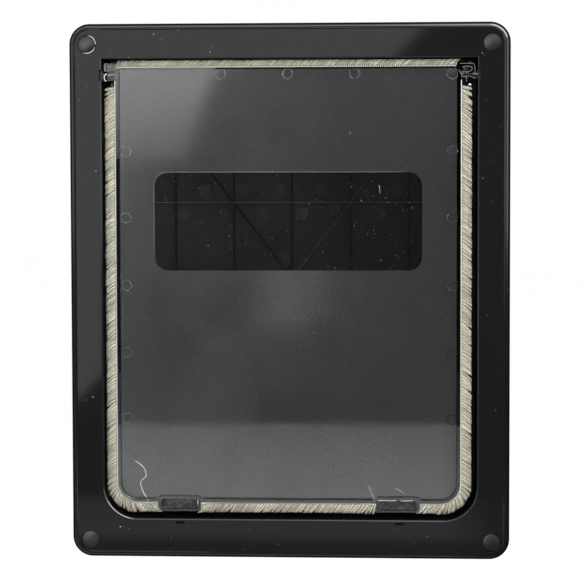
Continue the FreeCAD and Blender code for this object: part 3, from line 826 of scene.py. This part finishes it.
def sweep(work, route, start, end, near, far, half_depth, step, wave=0.0, beat=0):
    """Rounded bar along a route, near to far from the flap's edge. A beat alternates two materials."""
    count = max(2, int((end - start) / step))
    rings = []
    for index in range(count + 1):
        t = start + (end - start) * index / count
        edge, out, along = route["place"](t)
        swell = wave * (index % 2)
        corner = 0.28 * MM
        ring = []
        low, high, depth = near, far + swell, half_depth + swell
        outline = (
            (low, -depth + corner),
            (low + corner, -depth),
            (high - corner, -depth),
            (high, -depth + corner),
            (high, depth - corner),
            (high - corner, depth),
            (low + corner, depth),
            (low, depth - corner),
        )
        for away, deep in outline:
            ring.append(work.verts.new(edge + out * away + Vector((0, deep, 0))))
        rings.append(ring)
    for place, (before, after) in enumerate(zip(rings, rings[1:])):
        material = (place // beat) % 2 if beat else 0
        for index in range(8):
            following = (index + 1) % 8
            corners = (before[index], before[following], after[following], after[index])
            work.faces.new(corners).material_index = material
    work.faces.new(rings[0])
    work.faces.new(list(reversed(rings[-1])))


TUFT_RINGS = (0.0, 0.4, 0.75, 1.0)


def add_tuft(points, faces, root, out, along, reach, shift, curl, radius, splay):
    """Three-sided tapering tuft that leans along the strip and splays a little in depth."""
    first = len(points)
    lean = math.atan2(shift, reach)
    across = along * math.cos(lean) - out * math.sin(lean)
    for part in TUFT_RINGS:
        middle = root + out * (reach * part) + along * (shift * part ** curl)
        middle = middle + Vector((0, splay * part, 0))
        thick = radius * (1.0 - 0.45 * part)
        for corner in range(3):
            angle = math.radians(90.0 + 120.0 * corner)
            deep = Vector((0, -thick * math.sin(angle), 0))
            points.append(middle + across * (thick * math.cos(angle)) + deep)
    for ring in range(len(TUFT_RINGS) - 1):
        for corner in range(3):
            low = first + 3 * ring
            following = (corner + 1) % 3
            faces.append((low + corner, low + following, low + 3 + following, low + 3 + corner))
    last = first + 3 * (len(TUFT_RINGS) - 1)
    faces.append((first + 2, first + 1, first))
    faces.append((last, last + 1, last + 2))


def add_tufts(route, seed, tones):
    """Tufts in clumps, each clump with a lean, a length and a root of its own."""
    dice = random.Random(seed)
    points, faces, shades = [], [], []
    base = GLUE_LINE + TAPE
    t = route["pile_start"]
    end = route["length"]
    while t < end:
        clump_end = min(end, t + dice.uniform(1.4, 2.8) * MM)
        # The first tufts of each clump take the darkest wool: painted shade under the clump.
        shaded_to = t + 0.5 * MM
        deep = dice.uniform(-0.3, 0.3) * MM
        # The clump's tone comes from the strip's list, which carries painted light, with a random step.
        tone = dice.choice(tones)
        lean = route["lean"] + dice.gauss(0.0, 3.5)
        ease = min(1.0, 0.3 + (t - route["pile_start"]) / (9.0 * MM))
        full = dice.uniform(0.93, 1.0)
        gap = STITCH_GAP * dice.choice((0.45, 0.6, 0.7, 0.8))
        while t < clump_end:
            edge, out, along = route["place"](t)
            for row in range(TUFT_ROWS):
                spread = (row - (TUFT_ROWS - 1) / 2) / ((TUFT_ROWS - 1) / 2)
                slip = dice.uniform(-0.2, 0.2) * MM
                root = edge + out * (base + gap) + along * slip
                root = root + Vector((0, spread * 0.42 * PILE_WIDTH + deep + dice.uniform(-0.1, 0.1) * MM, 0))
                shades.append(0 if t < shaded_to else max(0, min(2, tone + dice.choice((-1, 0, 0, 0, 1)))))
                reach = (route["pile"](t) + BACKING - TAPE - gap) * full * dice.uniform(0.95, 1.0)
                shift = reach * math.tan(math.radians(lean + dice.gauss(0.0, 2.0))) * ease
                room = end - t + 3.2 * MM
                curl = 1.15 if shift < room - 2.0 * MM else 2.6
                shift = min(shift, room)
                radius = dice.uniform(0.13, 0.21) * MM
                add_tuft(points, faces, root, out, along, reach, shift, curl, radius, spread * 0.2 * MM)
            t += TUFT_STEP * dice.uniform(0.85, 1.15)
        t += dice.choice((0.1, 0.25, 0.4, 0.6)) * MM
    return points, faces, shades


def build_strip(name, node, route, seed, tones, stitch):
    """Woven tape glued to the flap's edge, with a dense pile of slanting tufts and a dark bar of painted
    shade inside the pile.
    """
    work = bmesh.new()
    half_depth = BACKING_WIDTH / 2 - 0.05 * MM
    sweep(work, route, 0.0, route["length"], GLUE_LINE, GLUE_LINE + TAPE, half_depth, 0.47 * MM, 0.08 * MM, 2)
    tape_finishes = [woven_tape, stitch]
    finish_piece(work, name + "_tape", "flap", tape_finishes, angle=60.0, flat=False)

    work = bmesh.new()
    inner = GLUE_LINE + TAPE - 0.2 * MM
    outer = GLUE_LINE + BACKING + 0.62 * route["pile"](0.0)
    start = route["pile_start"]
    core_end = route["length"] - 0.3 * MM
    # A dark bar inside the pile is painted shade between the tufts.
    sweep(work, route, start + 0.3 * MM, core_end, inner, outer, 0.3 * PILE_WIDTH, 2.0 * MM)
    finish_piece(work, name + "_core", "flap", [pile_core_shade], flat=False)

    points, faces, shades = add_tufts(route, seed, tones)
    mesh = mesh_of(name + "_pile", points, faces, pile_shade, pile_fibre, pile_light)
    each = len(faces) // len(shades)
    mesh.polygons.foreach_set("material_index", [shade for shade in shades for _ in range(each)])
    mesh.shade_smooth()
    piece = new_piece(name + "_pile", mesh, "flap")
    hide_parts(node)


def build_brushes():
    """Strips up both sides, along the top, and along the bottom between the magnets."""
    top_start = -154.6 * MM
    top_end = 148.2 * MM
    # Each strip's list of tones paints light: the right side strip paler than the left, the head strip
    # darkest.
    build_strip("brush_side_left", "brush_left", side_route(-1), 11, (1, 1, 2, 2), stitch_pale)
    build_strip("brush_side_right", "brush_right", side_route(1), 12, (1, 2, 2, 2), stitch_pale)
    top = level_route(top_start, top_end, FLAP_TOP, 1, TOP_PILE, 44.0)
    build_strip("brush_head", "brush_top", top, 13, (0, 0, 0, 1, 1), stitch_dark)
    bottom_right = FLAP_X + MAGNET_POCKET_INNER
    bottom_left = FLAP_X - MAGNET_POCKET_INNER
    bottom = level_route(bottom_right, bottom_left, FLAP_BOTTOM, -1, BOTTOM_PILE, 36.0, 1.3 * MM)
    build_strip("brush_foot", "brush_bottom", bottom, 14, (0, 1, 1, 2, 2), stitch_dark)


# Hinge, magnets, caps and screws

COLLAR_REACH = 3.9 * MM


def build_bush(hand, side):
    """Black bush whose collar beside the flap's barrel is dark steel."""
    node = "hinge_bush_" + hand
    work = cleaned_copy(node)
    rounded_edges(work, lambda edge, middle: edge.calc_length() > 0.3 * MM, 0.2 * MM)
    low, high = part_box(node)
    collar_end = (low.x if side > 0 else high.x) + side * COLLAR_REACH
    for face in work.faces:
        middle = face.calc_center_median()
        from_axle = math.hypot(middle.y - AXLE.y, middle.z - AXLE.z)
        if from_axle < 4.1 * MM and side * (collar_end - middle.x) > 0:
            face.material_index = 1
    finish_piece(work, "bush_" + hand, "frame", [bush_plastic, dark_steel], node)


def build_magnet(node, body):
    """Bar magnet with rubbed edges."""
    work = cleaned_copy(node)
    rounded_edges(work, lambda edge, middle: True, 0.35 * MM, segments=3)
    finish_piece(work, node + "_bar", body, [ferrite], node)


CAP_RADIUS = 7.5 * MM
CAP_SEAT_Y = -28.4 * MM
CAP_EDGE = 1.4 * MM
CAP_DOME = 1.35 * MM
CAP_FULL = 1.06
CAP_PLUG_RADIUS = 5.1 * MM
CAP_PLUG = 3.2 * MM
WASHER_SLIVERS = ((118, 16, 8.0, 7.2, 0.5), (3, -84, 7.5, 8.0, 0.65))


def add_sliver(work, place, start, end, near, far, width):
    """Flat crescent on the cap's seat, from one angle to another in degrees and between two radii."""
    steps = 16
    before = None
    for step in range(steps + 1):
        part = step / steps
        angle = math.radians(start + (end - start) * part)
        middle = near + (far - near) * part
        half = 0.5 * width * math.sin(math.pi * (0.08 + 0.84 * part))
        pair = []
        for radius in (middle - half, middle + half):
            point = Vector((radius * MM * math.cos(angle), -radius * MM * math.sin(angle), 0.35 * MM))
            pair.append(work.verts.new(place @ point))
        if before:
            work.faces.new((before[0], before[1], pair[1], pair[0])).material_index = 1
        before = pair


def cap_profile():
    """Half section of a cap from its crown to its plug."""
    sphere = (CAP_RADIUS ** 2 + CAP_DOME ** 2) / (2 * CAP_DOME)
    points = []
    for step in range(17):
        radius = (CAP_RADIUS - 0.25 * MM) * step / 16
        height = math.sqrt(sphere ** 2 - radius ** 2) - sphere + CAP_DOME + CAP_EDGE
        points.append((radius, height))
    points.append((CAP_RADIUS - 0.07 * MM, CAP_EDGE + 0.03 * MM))
    points.append((CAP_RADIUS, CAP_EDGE - 0.15 * MM))
    points.append((CAP_RADIUS, 0.0))
    points.append((CAP_PLUG_RADIUS, 0.0))
    points.append((CAP_PLUG_RADIUS, -CAP_PLUG))
    points.append((0.0, -CAP_PLUG))
    return points


def build_caps():
    """Four domed caps. The top left one is pushed in askew and bares the edge of its pale washer."""
    work = bmesh.new()
    for side in (-1, 1):
        for row, z in enumerate(CAP_ROWS):
            place = facing(side * CAP_X, CAP_SEAT_Y, z, -1)
            if side < 0 and row == 1:
                washer_place = place
                tilt = Matrix.Rotation(math.radians(3.0), 4, "Y")
                place = Matrix.Translation(Vector((-0.62 * MM, 0.0, 0.0))) @ place @ tilt
            else:
                place = place @ Matrix.Diagonal((CAP_FULL, CAP_FULL, 1.0, 1.0))
            lathe(work, cap_profile(), place, 64)
    bmesh.ops.recalc_face_normals(work, faces=work.faces)
    for sliver in WASHER_SLIVERS:
        add_sliver(work, washer_place, *sliver)
    finishes = [cap_plastic, white_and_glint]
    finish_piece(work, "cap_domes", "frame", finishes, "screw_caps", 40.0, flat=False)


SCREW_HEAD_Y = -24.6 * MM
SCREW_SEAT_Y = -22.0 * MM
SCREW_END_Y = 27.0 * MM
THREAD_PITCH = 1.4 * MM
THREAD_START = 6.0 * MM


def add_screw(work, x, z):
    """Screw with a pan head, a plain neck and a thread that runs to its tip."""
    place = facing(x, SCREW_SEAT_Y, z, 1)
    length = SCREW_END_Y - SCREW_SEAT_Y
    head = SCREW_SEAT_Y - SCREW_HEAD_Y
    core = 1.5 * MM
    profile = [(0.0, -head), (2.6 * MM, -head), (3.6 * MM, -head + 0.7 * MM), (4.0 * MM, -0.7 * MM)]
    profile += [(4.0 * MM, 0.0), (1.95 * MM, 0.0), (1.95 * MM, THREAD_START), (core, THREAD_START + MM)]
    profile += [(core, length - 3 * MM), (0.3 * MM, length - 0.05 * MM), (0.0, length)]
    lathe(work, profile, place, 24)
    turns = (length - 3 * MM - THREAD_START) / THREAD_PITCH
    steps = int(turns * 20)
    ribbon = []
    for step in range(steps + 1):
        angle = 2 * math.pi * step / 20
        height = THREAD_START + THREAD_PITCH * step / 20
        crest = core + 0.5 * MM * min(1.0, step / 15, (steps - step) / 15)
        row = []
        for radius, rise in ((core - 0.1 * MM, -0.45 * MM), (crest, 0.0), (core - 0.1 * MM, 0.45 * MM)):
            point = Vector((radius * math.cos(angle), radius * math.sin(angle), height + rise))
            row.append(work.verts.new(place @ point))
        ribbon.append(row)
    for before, after in zip(ribbon, ribbon[1:]):
        for index in range(2):
            work.faces.new((before[index], before[index + 1], after[index + 1], after[index]))


def build_screws():
    """Four long screws behind the caps, as one piece."""
    work = bmesh.new()
    for side in (-1, 1):
        for z in CAP_ROWS:
            add_screw(work, side * CAP_X, z)
    finish_piece(work, "long_screws", "frame", [bright_steel], "fixing_screws", flat=False)


# Loose threads and hairs caught on the flap

WHITE_THREAD = (
    (-140.2, 85.4),
    (-134.8, 82.1),
    (-131.4, 78.5),
    (-130.5, 74.9),
    (-129.7, 71.3),
    (-132.1, 69.7),
    (-134.9, 67.2),
    (-135.5, 64.5),
    (-134.0, 59.7),
    (-131.3, 54.3),
    (-128.6, 50.0),
    (-126.8, 47.7),
)
HAIRS = (
    ((69.7, 64.7), (73.5, 57.0), (76.0, 48.5)),
    ((93.9, 62.2), (98.0, 60.6), (101.1, 57.7)),
    ((79.6, 333.4), (80.6, 330.0), (80.5, 326.3)),
)


def add_fibre(name, points, y, thickness, material, body):
    """Thin round fibre through the given (x, z) points, in millimetres, as a mesh tube."""
    curve = bpy.data.curves.new(name, "CURVE")
    curve.dimensions = "3D"
    curve.bevel_depth = thickness / 2
    curve.bevel_resolution = 3
    curve.use_fill_caps = True
    spline = curve.splines.new("NURBS")
    spline.points.add(len(points) - 1)
    spline.use_endpoint_u = True
    spline.order_u = 3
    spline.resolution_u = 8
    for point, (x, z) in zip(spline.points, points):
        point.co = (x * MM, y, z * MM, 1.0)
    shape = add_object(name, curve)
    bpy.context.view_layer.update()
    mesh = bpy.data.meshes.new_from_object(shape.evaluated_get(bpy.context.evaluated_depsgraph_get()))
    bpy.data.objects.remove(shape)
    mesh.name = name
    mesh.materials.clear()
    mesh.materials.append(material)
    mesh.shade_smooth()
    return new_piece(name, mesh, body)


DUST_SPOTS = ((-152.3, 27.3, 0.9), (92.6, 78.9, 0.7), (-41.0, 431.0, 0.6))


def add_speck(points, faces, x, y, z, size, dice):
    """Flat six-sided crumb lying on a face that looks along -Y."""
    first = len(points)
    turn = dice.uniform(0.0, math.pi)
    stretch = dice.uniform(0.5, 1.0)
    for step in range(6):
        angle = math.pi * step / 3
        across = size * math.cos(angle) / 2
        up = size * stretch * math.sin(angle) / 2
        place_x = x + across * math.cos(turn) - up * math.sin(turn)
        place_z = z + across * math.sin(turn) + up * math.cos(turn)
        points.append((place_x, y, place_z))
    points.append((x, y - 0.25 * size, z))
    for step in range(6):
        faces.append((first + step, first + (step + 1) % 6, first + 6))


def build_dust(name, body, slot, y, low, high, count, seed, spots=(), keep_out=None):
    """Pale dust scattered over a flat face, and crumbs at given spots."""
    dice = random.Random(seed)
    points, faces = [], []
    for _ in range(count):
        x = dice.uniform(low[0], high[0])
        z = dice.uniform(low[1], high[1])
        size = min(0.85, 0.26 + dice.expovariate(1 / 0.13)) * MM
        if keep_out and keep_out(x, z):
            continue
        add_speck(points, faces, x, y, z, size, dice)
    for x, z, size in spots:
        add_speck(points, faces, x * MM, y, z * MM, size * MM, dice)
    new_piece(name, mesh_of(name, points, faces, dust_grey), body)


def in_window(x, z):
    """Where the flap's face is set back for its clear window."""
    return abs(x - FLAP_X) < WINDOW_HALF_WIDTH and WINDOW_LOW < z < WINDOW_HIGH


def near_opening(x, z):
    """Where the frame has no flat face: the opening, and the caps' corners."""
    in_opening = abs(x) < OPENING_HALF + 3 * MM and OPENING_LOW - 3 * MM < z < OPENING_HIGH + 3 * MM
    by_cap = any(math.hypot(abs(x) - CAP_X, z - row) < 11 * MM for row in CAP_ROWS)
    return in_opening or by_cap


# Ridges on the clear ears, whose pale finish paints their highlights.
EAR_RIDGES = {
    "left": (
        ((-165.5, 439.6), (-156.3, 440.0)),
        ((-165.2, 435.3), (-156.5, 434.6)),
        ((-162.7, 431.0), (-155.6, 431.4)),
        ((-162.9, 427.2), (-155.8, 427.6)),
        ((-158.4, 424.0), (-157.9, 420.6)),
    ),
    "right": (
        ((151.2, 440.7), (162.8, 440.9), (164.3, 440.0), (164.4, 430.6)),
        ((153.2, 437.6), (157.6, 438.6), (161.6, 437.9), (162.2, 435.2), (160.0, 433.4), (153.4, 433.6)),
        ((150.4, 435.2), (151.6, 432.3), (153.4, 429.6)),
        ((156.6, 430.2), (156.9, 427.0), (157.1, 424.4)),
        ((159.6, 429.8), (162.6, 427.7), (165.6, 427.9)),
    ),
}
# Painted glints along the collars' edges.
COLLAR_GLINTS = {
    "left": ((-162.9, 433.1), (-164.9, 431.9), (-165.3, 429.4), (-164.7, 427.0), (-163.3, 426.2)),
    "right": ((166.6, 430.9), (168.2, 429.6), (168.3, 428.2)),
}
# Dark outlines round the magnet pockets, painted shade.
POCKET_LINES = (
    ((-114.9, 43.4), (-114.9, 50.2), (-114.6, 50.6), (-82.3, 50.6), (-82.0, 50.2), (-82.0, 43.6)),
    ((78.2, 43.4), (78.2, 50.2), (78.5, 50.6), (110.6, 50.6), (110.9, 50.2), (110.9, 43.6)),
)
POCKET_SCRATCHES = (
    ((-102.0, 43.6), (-98.5, 45.6), (-93.4, 48.2)),
    ((-113.0, 44.0), (-108.0, 43.4)),
    ((-97.0, 48.6), (-91.0, 49.0), (-88.6, 47.9)),
    ((84.0, 44.2), (89.0, 46.4), (93.0, 48.6)),
    ((96.0, 43.8), (104.0, 45.0)),
)
# Painted glints at the magnet pockets' top edges.
POCKET_GLINTS = (((-83.3, 50.9), (-83.2, 46.6)), ((78.9, 51.1), (95.0, 50.9)), ((99.0, 50.9), (109.8, 51.1)))
TAPE_END = ((158.9, 422.4), (160.9, 422.0))
# Pale line of painted highlight along the window's left and top edges.
WINDOW_LINE = (
    (-121.4, 272.0),
    (-121.5, 300.0),
    (-121.5, 332.0),
    (-121.2, 340.0),
    (-117.0, 344.9),
    (-109.0, 345.1),
    (0.0, 345.1),
    (100.0, 345.1),
)


def build_ears():
    """Ridges on the clear ears with painted highlight, painted glints on the collars and pockets, pocket
    lines of painted shade, a window line of painted highlight, and one tape's end.
    """
    for hand, ridges in EAR_RIDGES.items():
        for index, ridge in enumerate(ridges):
            name = f"ear_ridge_{hand}_{index + 1}"
            add_fibre(name, ridge, flap_low.y - 0.1 * MM, 0.55 * MM, pale_scratch_and_highlight, "flap")
        name, glint = "collar_glint_" + hand, COLLAR_GLINTS[hand]
        add_fibre(name, glint, flap_low.y, 0.5 * MM, white_and_glint, "frame")
    for index, line in enumerate(POCKET_LINES):
        name = f"pocket_line_{index + 1}"
        add_fibre(name, line, flap_low.y, 0.6 * MM, shade_black, "flap")
    for index, scratch in enumerate(POCKET_SCRATCHES):
        name = f"pocket_scratch_{index + 1}"
        add_fibre(name, scratch, flap_low.y - 0.05 * MM, 0.35 * MM, pale_scratch_and_highlight, "flap")
    add_fibre("window_line", WINDOW_LINE, SHEET_FRONT, 0.4 * MM, pale_scratch_and_highlight, "flap")
    for index, glint in enumerate(POCKET_GLINTS):
        name = f"pocket_glint_{index + 1}"
        add_fibre(name, glint, flap_low.y - 0.1 * MM, 0.32 * MM, white_and_glint, "flap")
    add_fibre("tape_end", TAPE_END, flap_low.y, 1.3 * MM, white_and_glint, "flap")


def build_all_dust():
    """Dust on the flap, in its window and on the frame's face."""
    flap_low_corner = (FLAP_X - FLAP_HALF + 5 * MM, FLAP_BOTTOM + 12 * MM)
    flap_high_corner = (FLAP_X + FLAP_HALF - 5 * MM, FLAP_TOP - 4 * MM)
    corners = (flap_low_corner, flap_high_corner)
    build_dust("flap_dust", "flap", "smoky_clear", SHEET_FRONT, *corners, 2200, 31, DUST_SPOTS[1:], in_window)
    low = (FLAP_X - WINDOW_HALF_WIDTH + 2 * MM, WINDOW_LOW + 2 * MM)
    high = (FLAP_X + WINDOW_HALF_WIDTH - 2 * MM, WINDOW_HIGH - 2 * MM)
    build_dust("window_dust", "flap", "smoky_clear", SHEET_FRONT + WINDOW_STEP, low, high, 170, 33)
    face = (frame_high.x - 4 * MM, frame_high.z - 4 * MM)
    corners = ((-face[0], 4 * MM), face)
    spot = DUST_SPOTS[:1]
    build_dust("frame_dust", "frame", "frame_plastic", frame_low.y, *corners, 420, 32, spot, near_opening)


def build_fibres():
    """White thread at the flap's lower left, and short hairs."""
    add_fibre("white_thread", WHITE_THREAD, -20.3 * MM, 0.32 * MM, thread_white, "flap")
    for index, hair in enumerate(HAIRS):
        add_fibre(f"hair_{index + 1}", hair, -20.15 * MM, 0.2 * MM, thread_white, "flap")


# Camera, lamps and floor

def add_camera():
    """Camera at the photograph's place, in front and a little to the right, looking slightly down."""
    data = bpy.data.cameras.new("photo_camera")
    data.sensor_width = 36.0
    data.lens = 121.3
    data.shift_y = -0.0611
    data.clip_end = 50.0
    camera = add_object("photo_camera", data)
    pan = Matrix.Rotation(math.radians(3.117), 4, "Z")
    tilt = Matrix.Rotation(math.radians(90.0 - 3.005), 4, "X")
    roll = Matrix.Rotation(math.radians(-0.149), 4, "Z")
    place = Matrix.Translation(Vector((0.095, -1.7598, 0.363)))
    camera.matrix_world = place @ pan @ tilt @ roll
    bpy.context.scene.camera = camera


def emptied(owner):
    """Node tree of a material or a world, cleared of its nodes."""
    owner.use_nodes = True
    owner.node_tree.nodes.clear()
    return owner.node_tree


def lit_material(name, low, low_light, high, high_light):
    """Even light, or one that grows with height."""
    material = bpy.data.materials.new(name)
    tree = emptied(material)
    height = axes(tree, "NewGeometry", "Position")["Z"]
    level = ranged(tree, height, low_light, high_light, low, high)
    light = add_node(tree, "Emission", {"Strength": level})
    add_node(tree, "OutputMaterial", {"Surface": light.outputs[0]})
    return material


def add_soft_box(name, outline, material):
    """Lit sheet in front of the object, at the upper left. The smooth plastic mirrors its edges."""
    points = [(x, SOFT_BOX_Y, z) for x, z in outline]
    soft_box = add_object(name, mesh_of(name, points, [tuple(range(len(outline)))], material))
    soft_box.visible_camera = False
    soft_box.visible_transmission = False
    soft_box.visible_shadow = False


def add_lamp(name, kind, place, target, **settings):
    """Lamp that looks at a target and that gloss doesn't show."""
    data = bpy.data.lights.new(name, kind)
    for label, value in settings.items():
        setattr(data, label, value)
    lamp = add_object(name, data)
    lamp.location = place
    lamp.rotation_euler = (Vector(target) - lamp.location).to_track_quat("-Z", "Y").to_euler()
    lamp.visible_glossy = False
    return lamp


def add_lamps():
    """Soft light from the right, and a small soft pool of light on the middle of the flap."""
    fill = add_lamp("fill", "AREA", (0.55, -1.4, 0.55), (0.17, 0.0, 0.24), size=0.7, energy=FILL_WATTS)
    fill.visible_camera = False
    pool = {"spot_size": math.radians(2.9), "spot_blend": 1.0, "shadow_soft_size": 0.03}
    add_lamp("glow", "SPOT", (0.25, -0.95, 0.65), (0.0, -0.02, 0.24), energy=GLOW_WATTS, **pool)


def add_world():
    """White to the eye, through glass and behind. In front it is dim in gloss and pale on matt faces."""
    world = bpy.data.worlds.new("studio")
    bpy.context.scene.world = world
    tree = emptied(world)
    way = add_node(tree, "TexCoord").outputs["Generated"]
    place = add_node(tree, "SeparateXYZ", {0: way}).outputs
    toward = add_node(tree, "VectorMath", {0: way}, operation="DOT_PRODUCT")
    toward.inputs[1].default_value = CORNER_LAMP
    gloss = ranged(tree, place["X"], GLOSS_LEFT, GLOSS_RIGHT, -0.25, 0.15)
    for value, low, high, start, end in (
        (place["Y"], 0.0, 1.0, 0.15, 0.4),
        (place["Z"], 0.0, GLOSS_ABOVE, 0.3, 0.65),
        (place["X"], 0.0, GLOSS_SIDE, 0.45, 0.8),
        (place["X"], 0.5 * GLOSS_SIDE, 0.0, -0.8, -0.45),
        (toward.outputs["Value"], 0.0, GLOSS_CORNER, 0.77, 0.87),
        (toward.outputs["Value"], 0.0, GLOSS_SOFT, 0.3, 0.62),
    ):
        gloss = math_node(tree, "MAXIMUM", gloss, ranged(tree, value, low, high, start, end))
    ray = add_node(tree, "LightPath").outputs
    matt = math_node(tree, "MULTIPLY", math_node(tree, "SUBTRACT", 1.0, ray["Is Glossy Ray"]), AMBIENT)
    glossy = math_node(tree, "MULTIPLY", ray["Is Glossy Ray"], gloss)
    seen = math_node(tree, "MAXIMUM", ray["Is Camera Ray"], ray["Is Transmission Ray"])
    light = math_node(tree, "MAXIMUM", seen, math_node(tree, "ADD", matt, glossy))
    sky = add_node(tree, "Background", {"Color": (1.0, 1.0, 1.0), "Strength": light})
    add_node(tree, "OutputWorld", {"Surface": sky.outputs[0]})


def floor_material():
    """White to the eye but for the object's shadow, and dark in gloss past the table's edge."""
    material = bpy.data.materials.new("pale_floor")
    tree = emptied(material)
    place = axes(tree, "NewGeometry", "Position")
    far = ranged(tree, place["Y"], TABLE_FAR, TABLE_PAST, -2.4, TABLE_EDGE)
    edge = ranged(tree, place["Y"], 0.0, TABLE_NEAR, TABLE_EDGE - 0.004, TABLE_EDGE + 0.004)
    level = math_node(tree, "MAXIMUM", far, edge)
    for rise, start, end in (
        (TABLE_PEAK - TABLE_NEAR, TABLE_EDGE, TABLE_PEAK_Y),
        (TABLE_FRONT - TABLE_PEAK, TABLE_PEAK_Y, 0.6 * TABLE_PEAK_Y),
        (TABLE_EDGE_ON - TABLE_FRONT, -0.02, 0.0),
    ):
        level = math_node(tree, "ADD", level, ranged(tree, place["Y"], 0.0, rise, start, end))
    beside = ranged(tree, place["X"], 1.0, TABLE_SIDE, 0.14, 0.19)
    mirrored = add_node(tree, "Emission", {"Strength": math_node(tree, "MULTIPLY", level, beside)})
    ray = add_node(tree, "LightPath").outputs
    unmirrored = math_node(tree, "LESS_THAN", ray["Glossy Depth"], 0.5)
    through = math_node(tree, "MULTIPLY", ray["Is Transmission Ray"], unmirrored)
    seen = math_node(tree, "MAXIMUM", ray["Is Camera Ray"], through)
    white_part = math_node(tree, "MULTIPLY", seen, FLOOR_WHITE_PART)
    glossy = math_node(tree, "SUBTRACT", ray["Is Glossy Ray"], through)
    matt = add_node(tree, "BsdfDiffuse", {"Color": (0.86, 0.86, 0.86)})
    white = add_node(tree, "Emission", {"Strength": FLOOR_WHITE})
    to_eye = add_node(tree, "MixShader", {"Fac": white_part, 1: matt.outputs[0], 2: white.outputs[0]})
    in_gloss = add_node(tree, "MixShader", {"Fac": glossy, 1: to_eye.outputs[0], 2: mirrored.outputs[0]})
    add_node(tree, "OutputMaterial", {"Surface": in_gloss.outputs[0]})
    return material


def add_floor():
    """Level floor at the foot of the frames."""
    half = 6.0
    corners = [(-half, -half, 0), (half, -half, 0), (half, half, 0), (-half, half, 0)]
    add_object("floor", mesh_of("floor", corners, [(0, 1, 2, 3)], floor_material()))


# Whole object

build_frame("front_frame", "outer_frame", -1)
build_frame("rear_frame", "inner_frame", 1)
build_bead("outer_bead", -1)
build_bead("inner_bead", 1)
build_flap()
build_flap_marks()
build_closing_panel()
build_rib_lines()
build_panel_marks()
build_rim_lines()
build_brushes()
build_bush("left", -1)
build_bush("right", 1)
for hand in ("left", "right"):
    build_magnet("flap_magnet_" + hand, "flap")
    build_magnet("threshold_magnet_" + hand, "frame")
build_caps()
build_screws()
build_fibres()
build_ears()
build_all_dust()
for node in ("pivot_pin_left", "pivot_pin_right"):
    nodes[node].material_slots[0].material = dark_steel
# The magnet holders' latches are matte black, painted shade in their slots.
for node in ("magnet_holder_left", "magnet_holder_right"):
    nodes[node].material_slots[0].material = shade_black

# Studio

add_camera()
add_world()
add_floor()
add_soft_box("soft_box", SOFT_BOX, lit_material("soft_box_light", 0.0, KEY_LIGHT, 1.0, KEY_LIGHT))
corner_light = lit_material("corner_box_light", 0.13, CORNER_LIGHT_LOW, 0.22, CORNER_LIGHT_HIGH)
add_soft_box("corner_box", CORNER_BOX, corner_light)
add_lamps()
bpy.context.scene.view_settings.view_transform = "Standard"
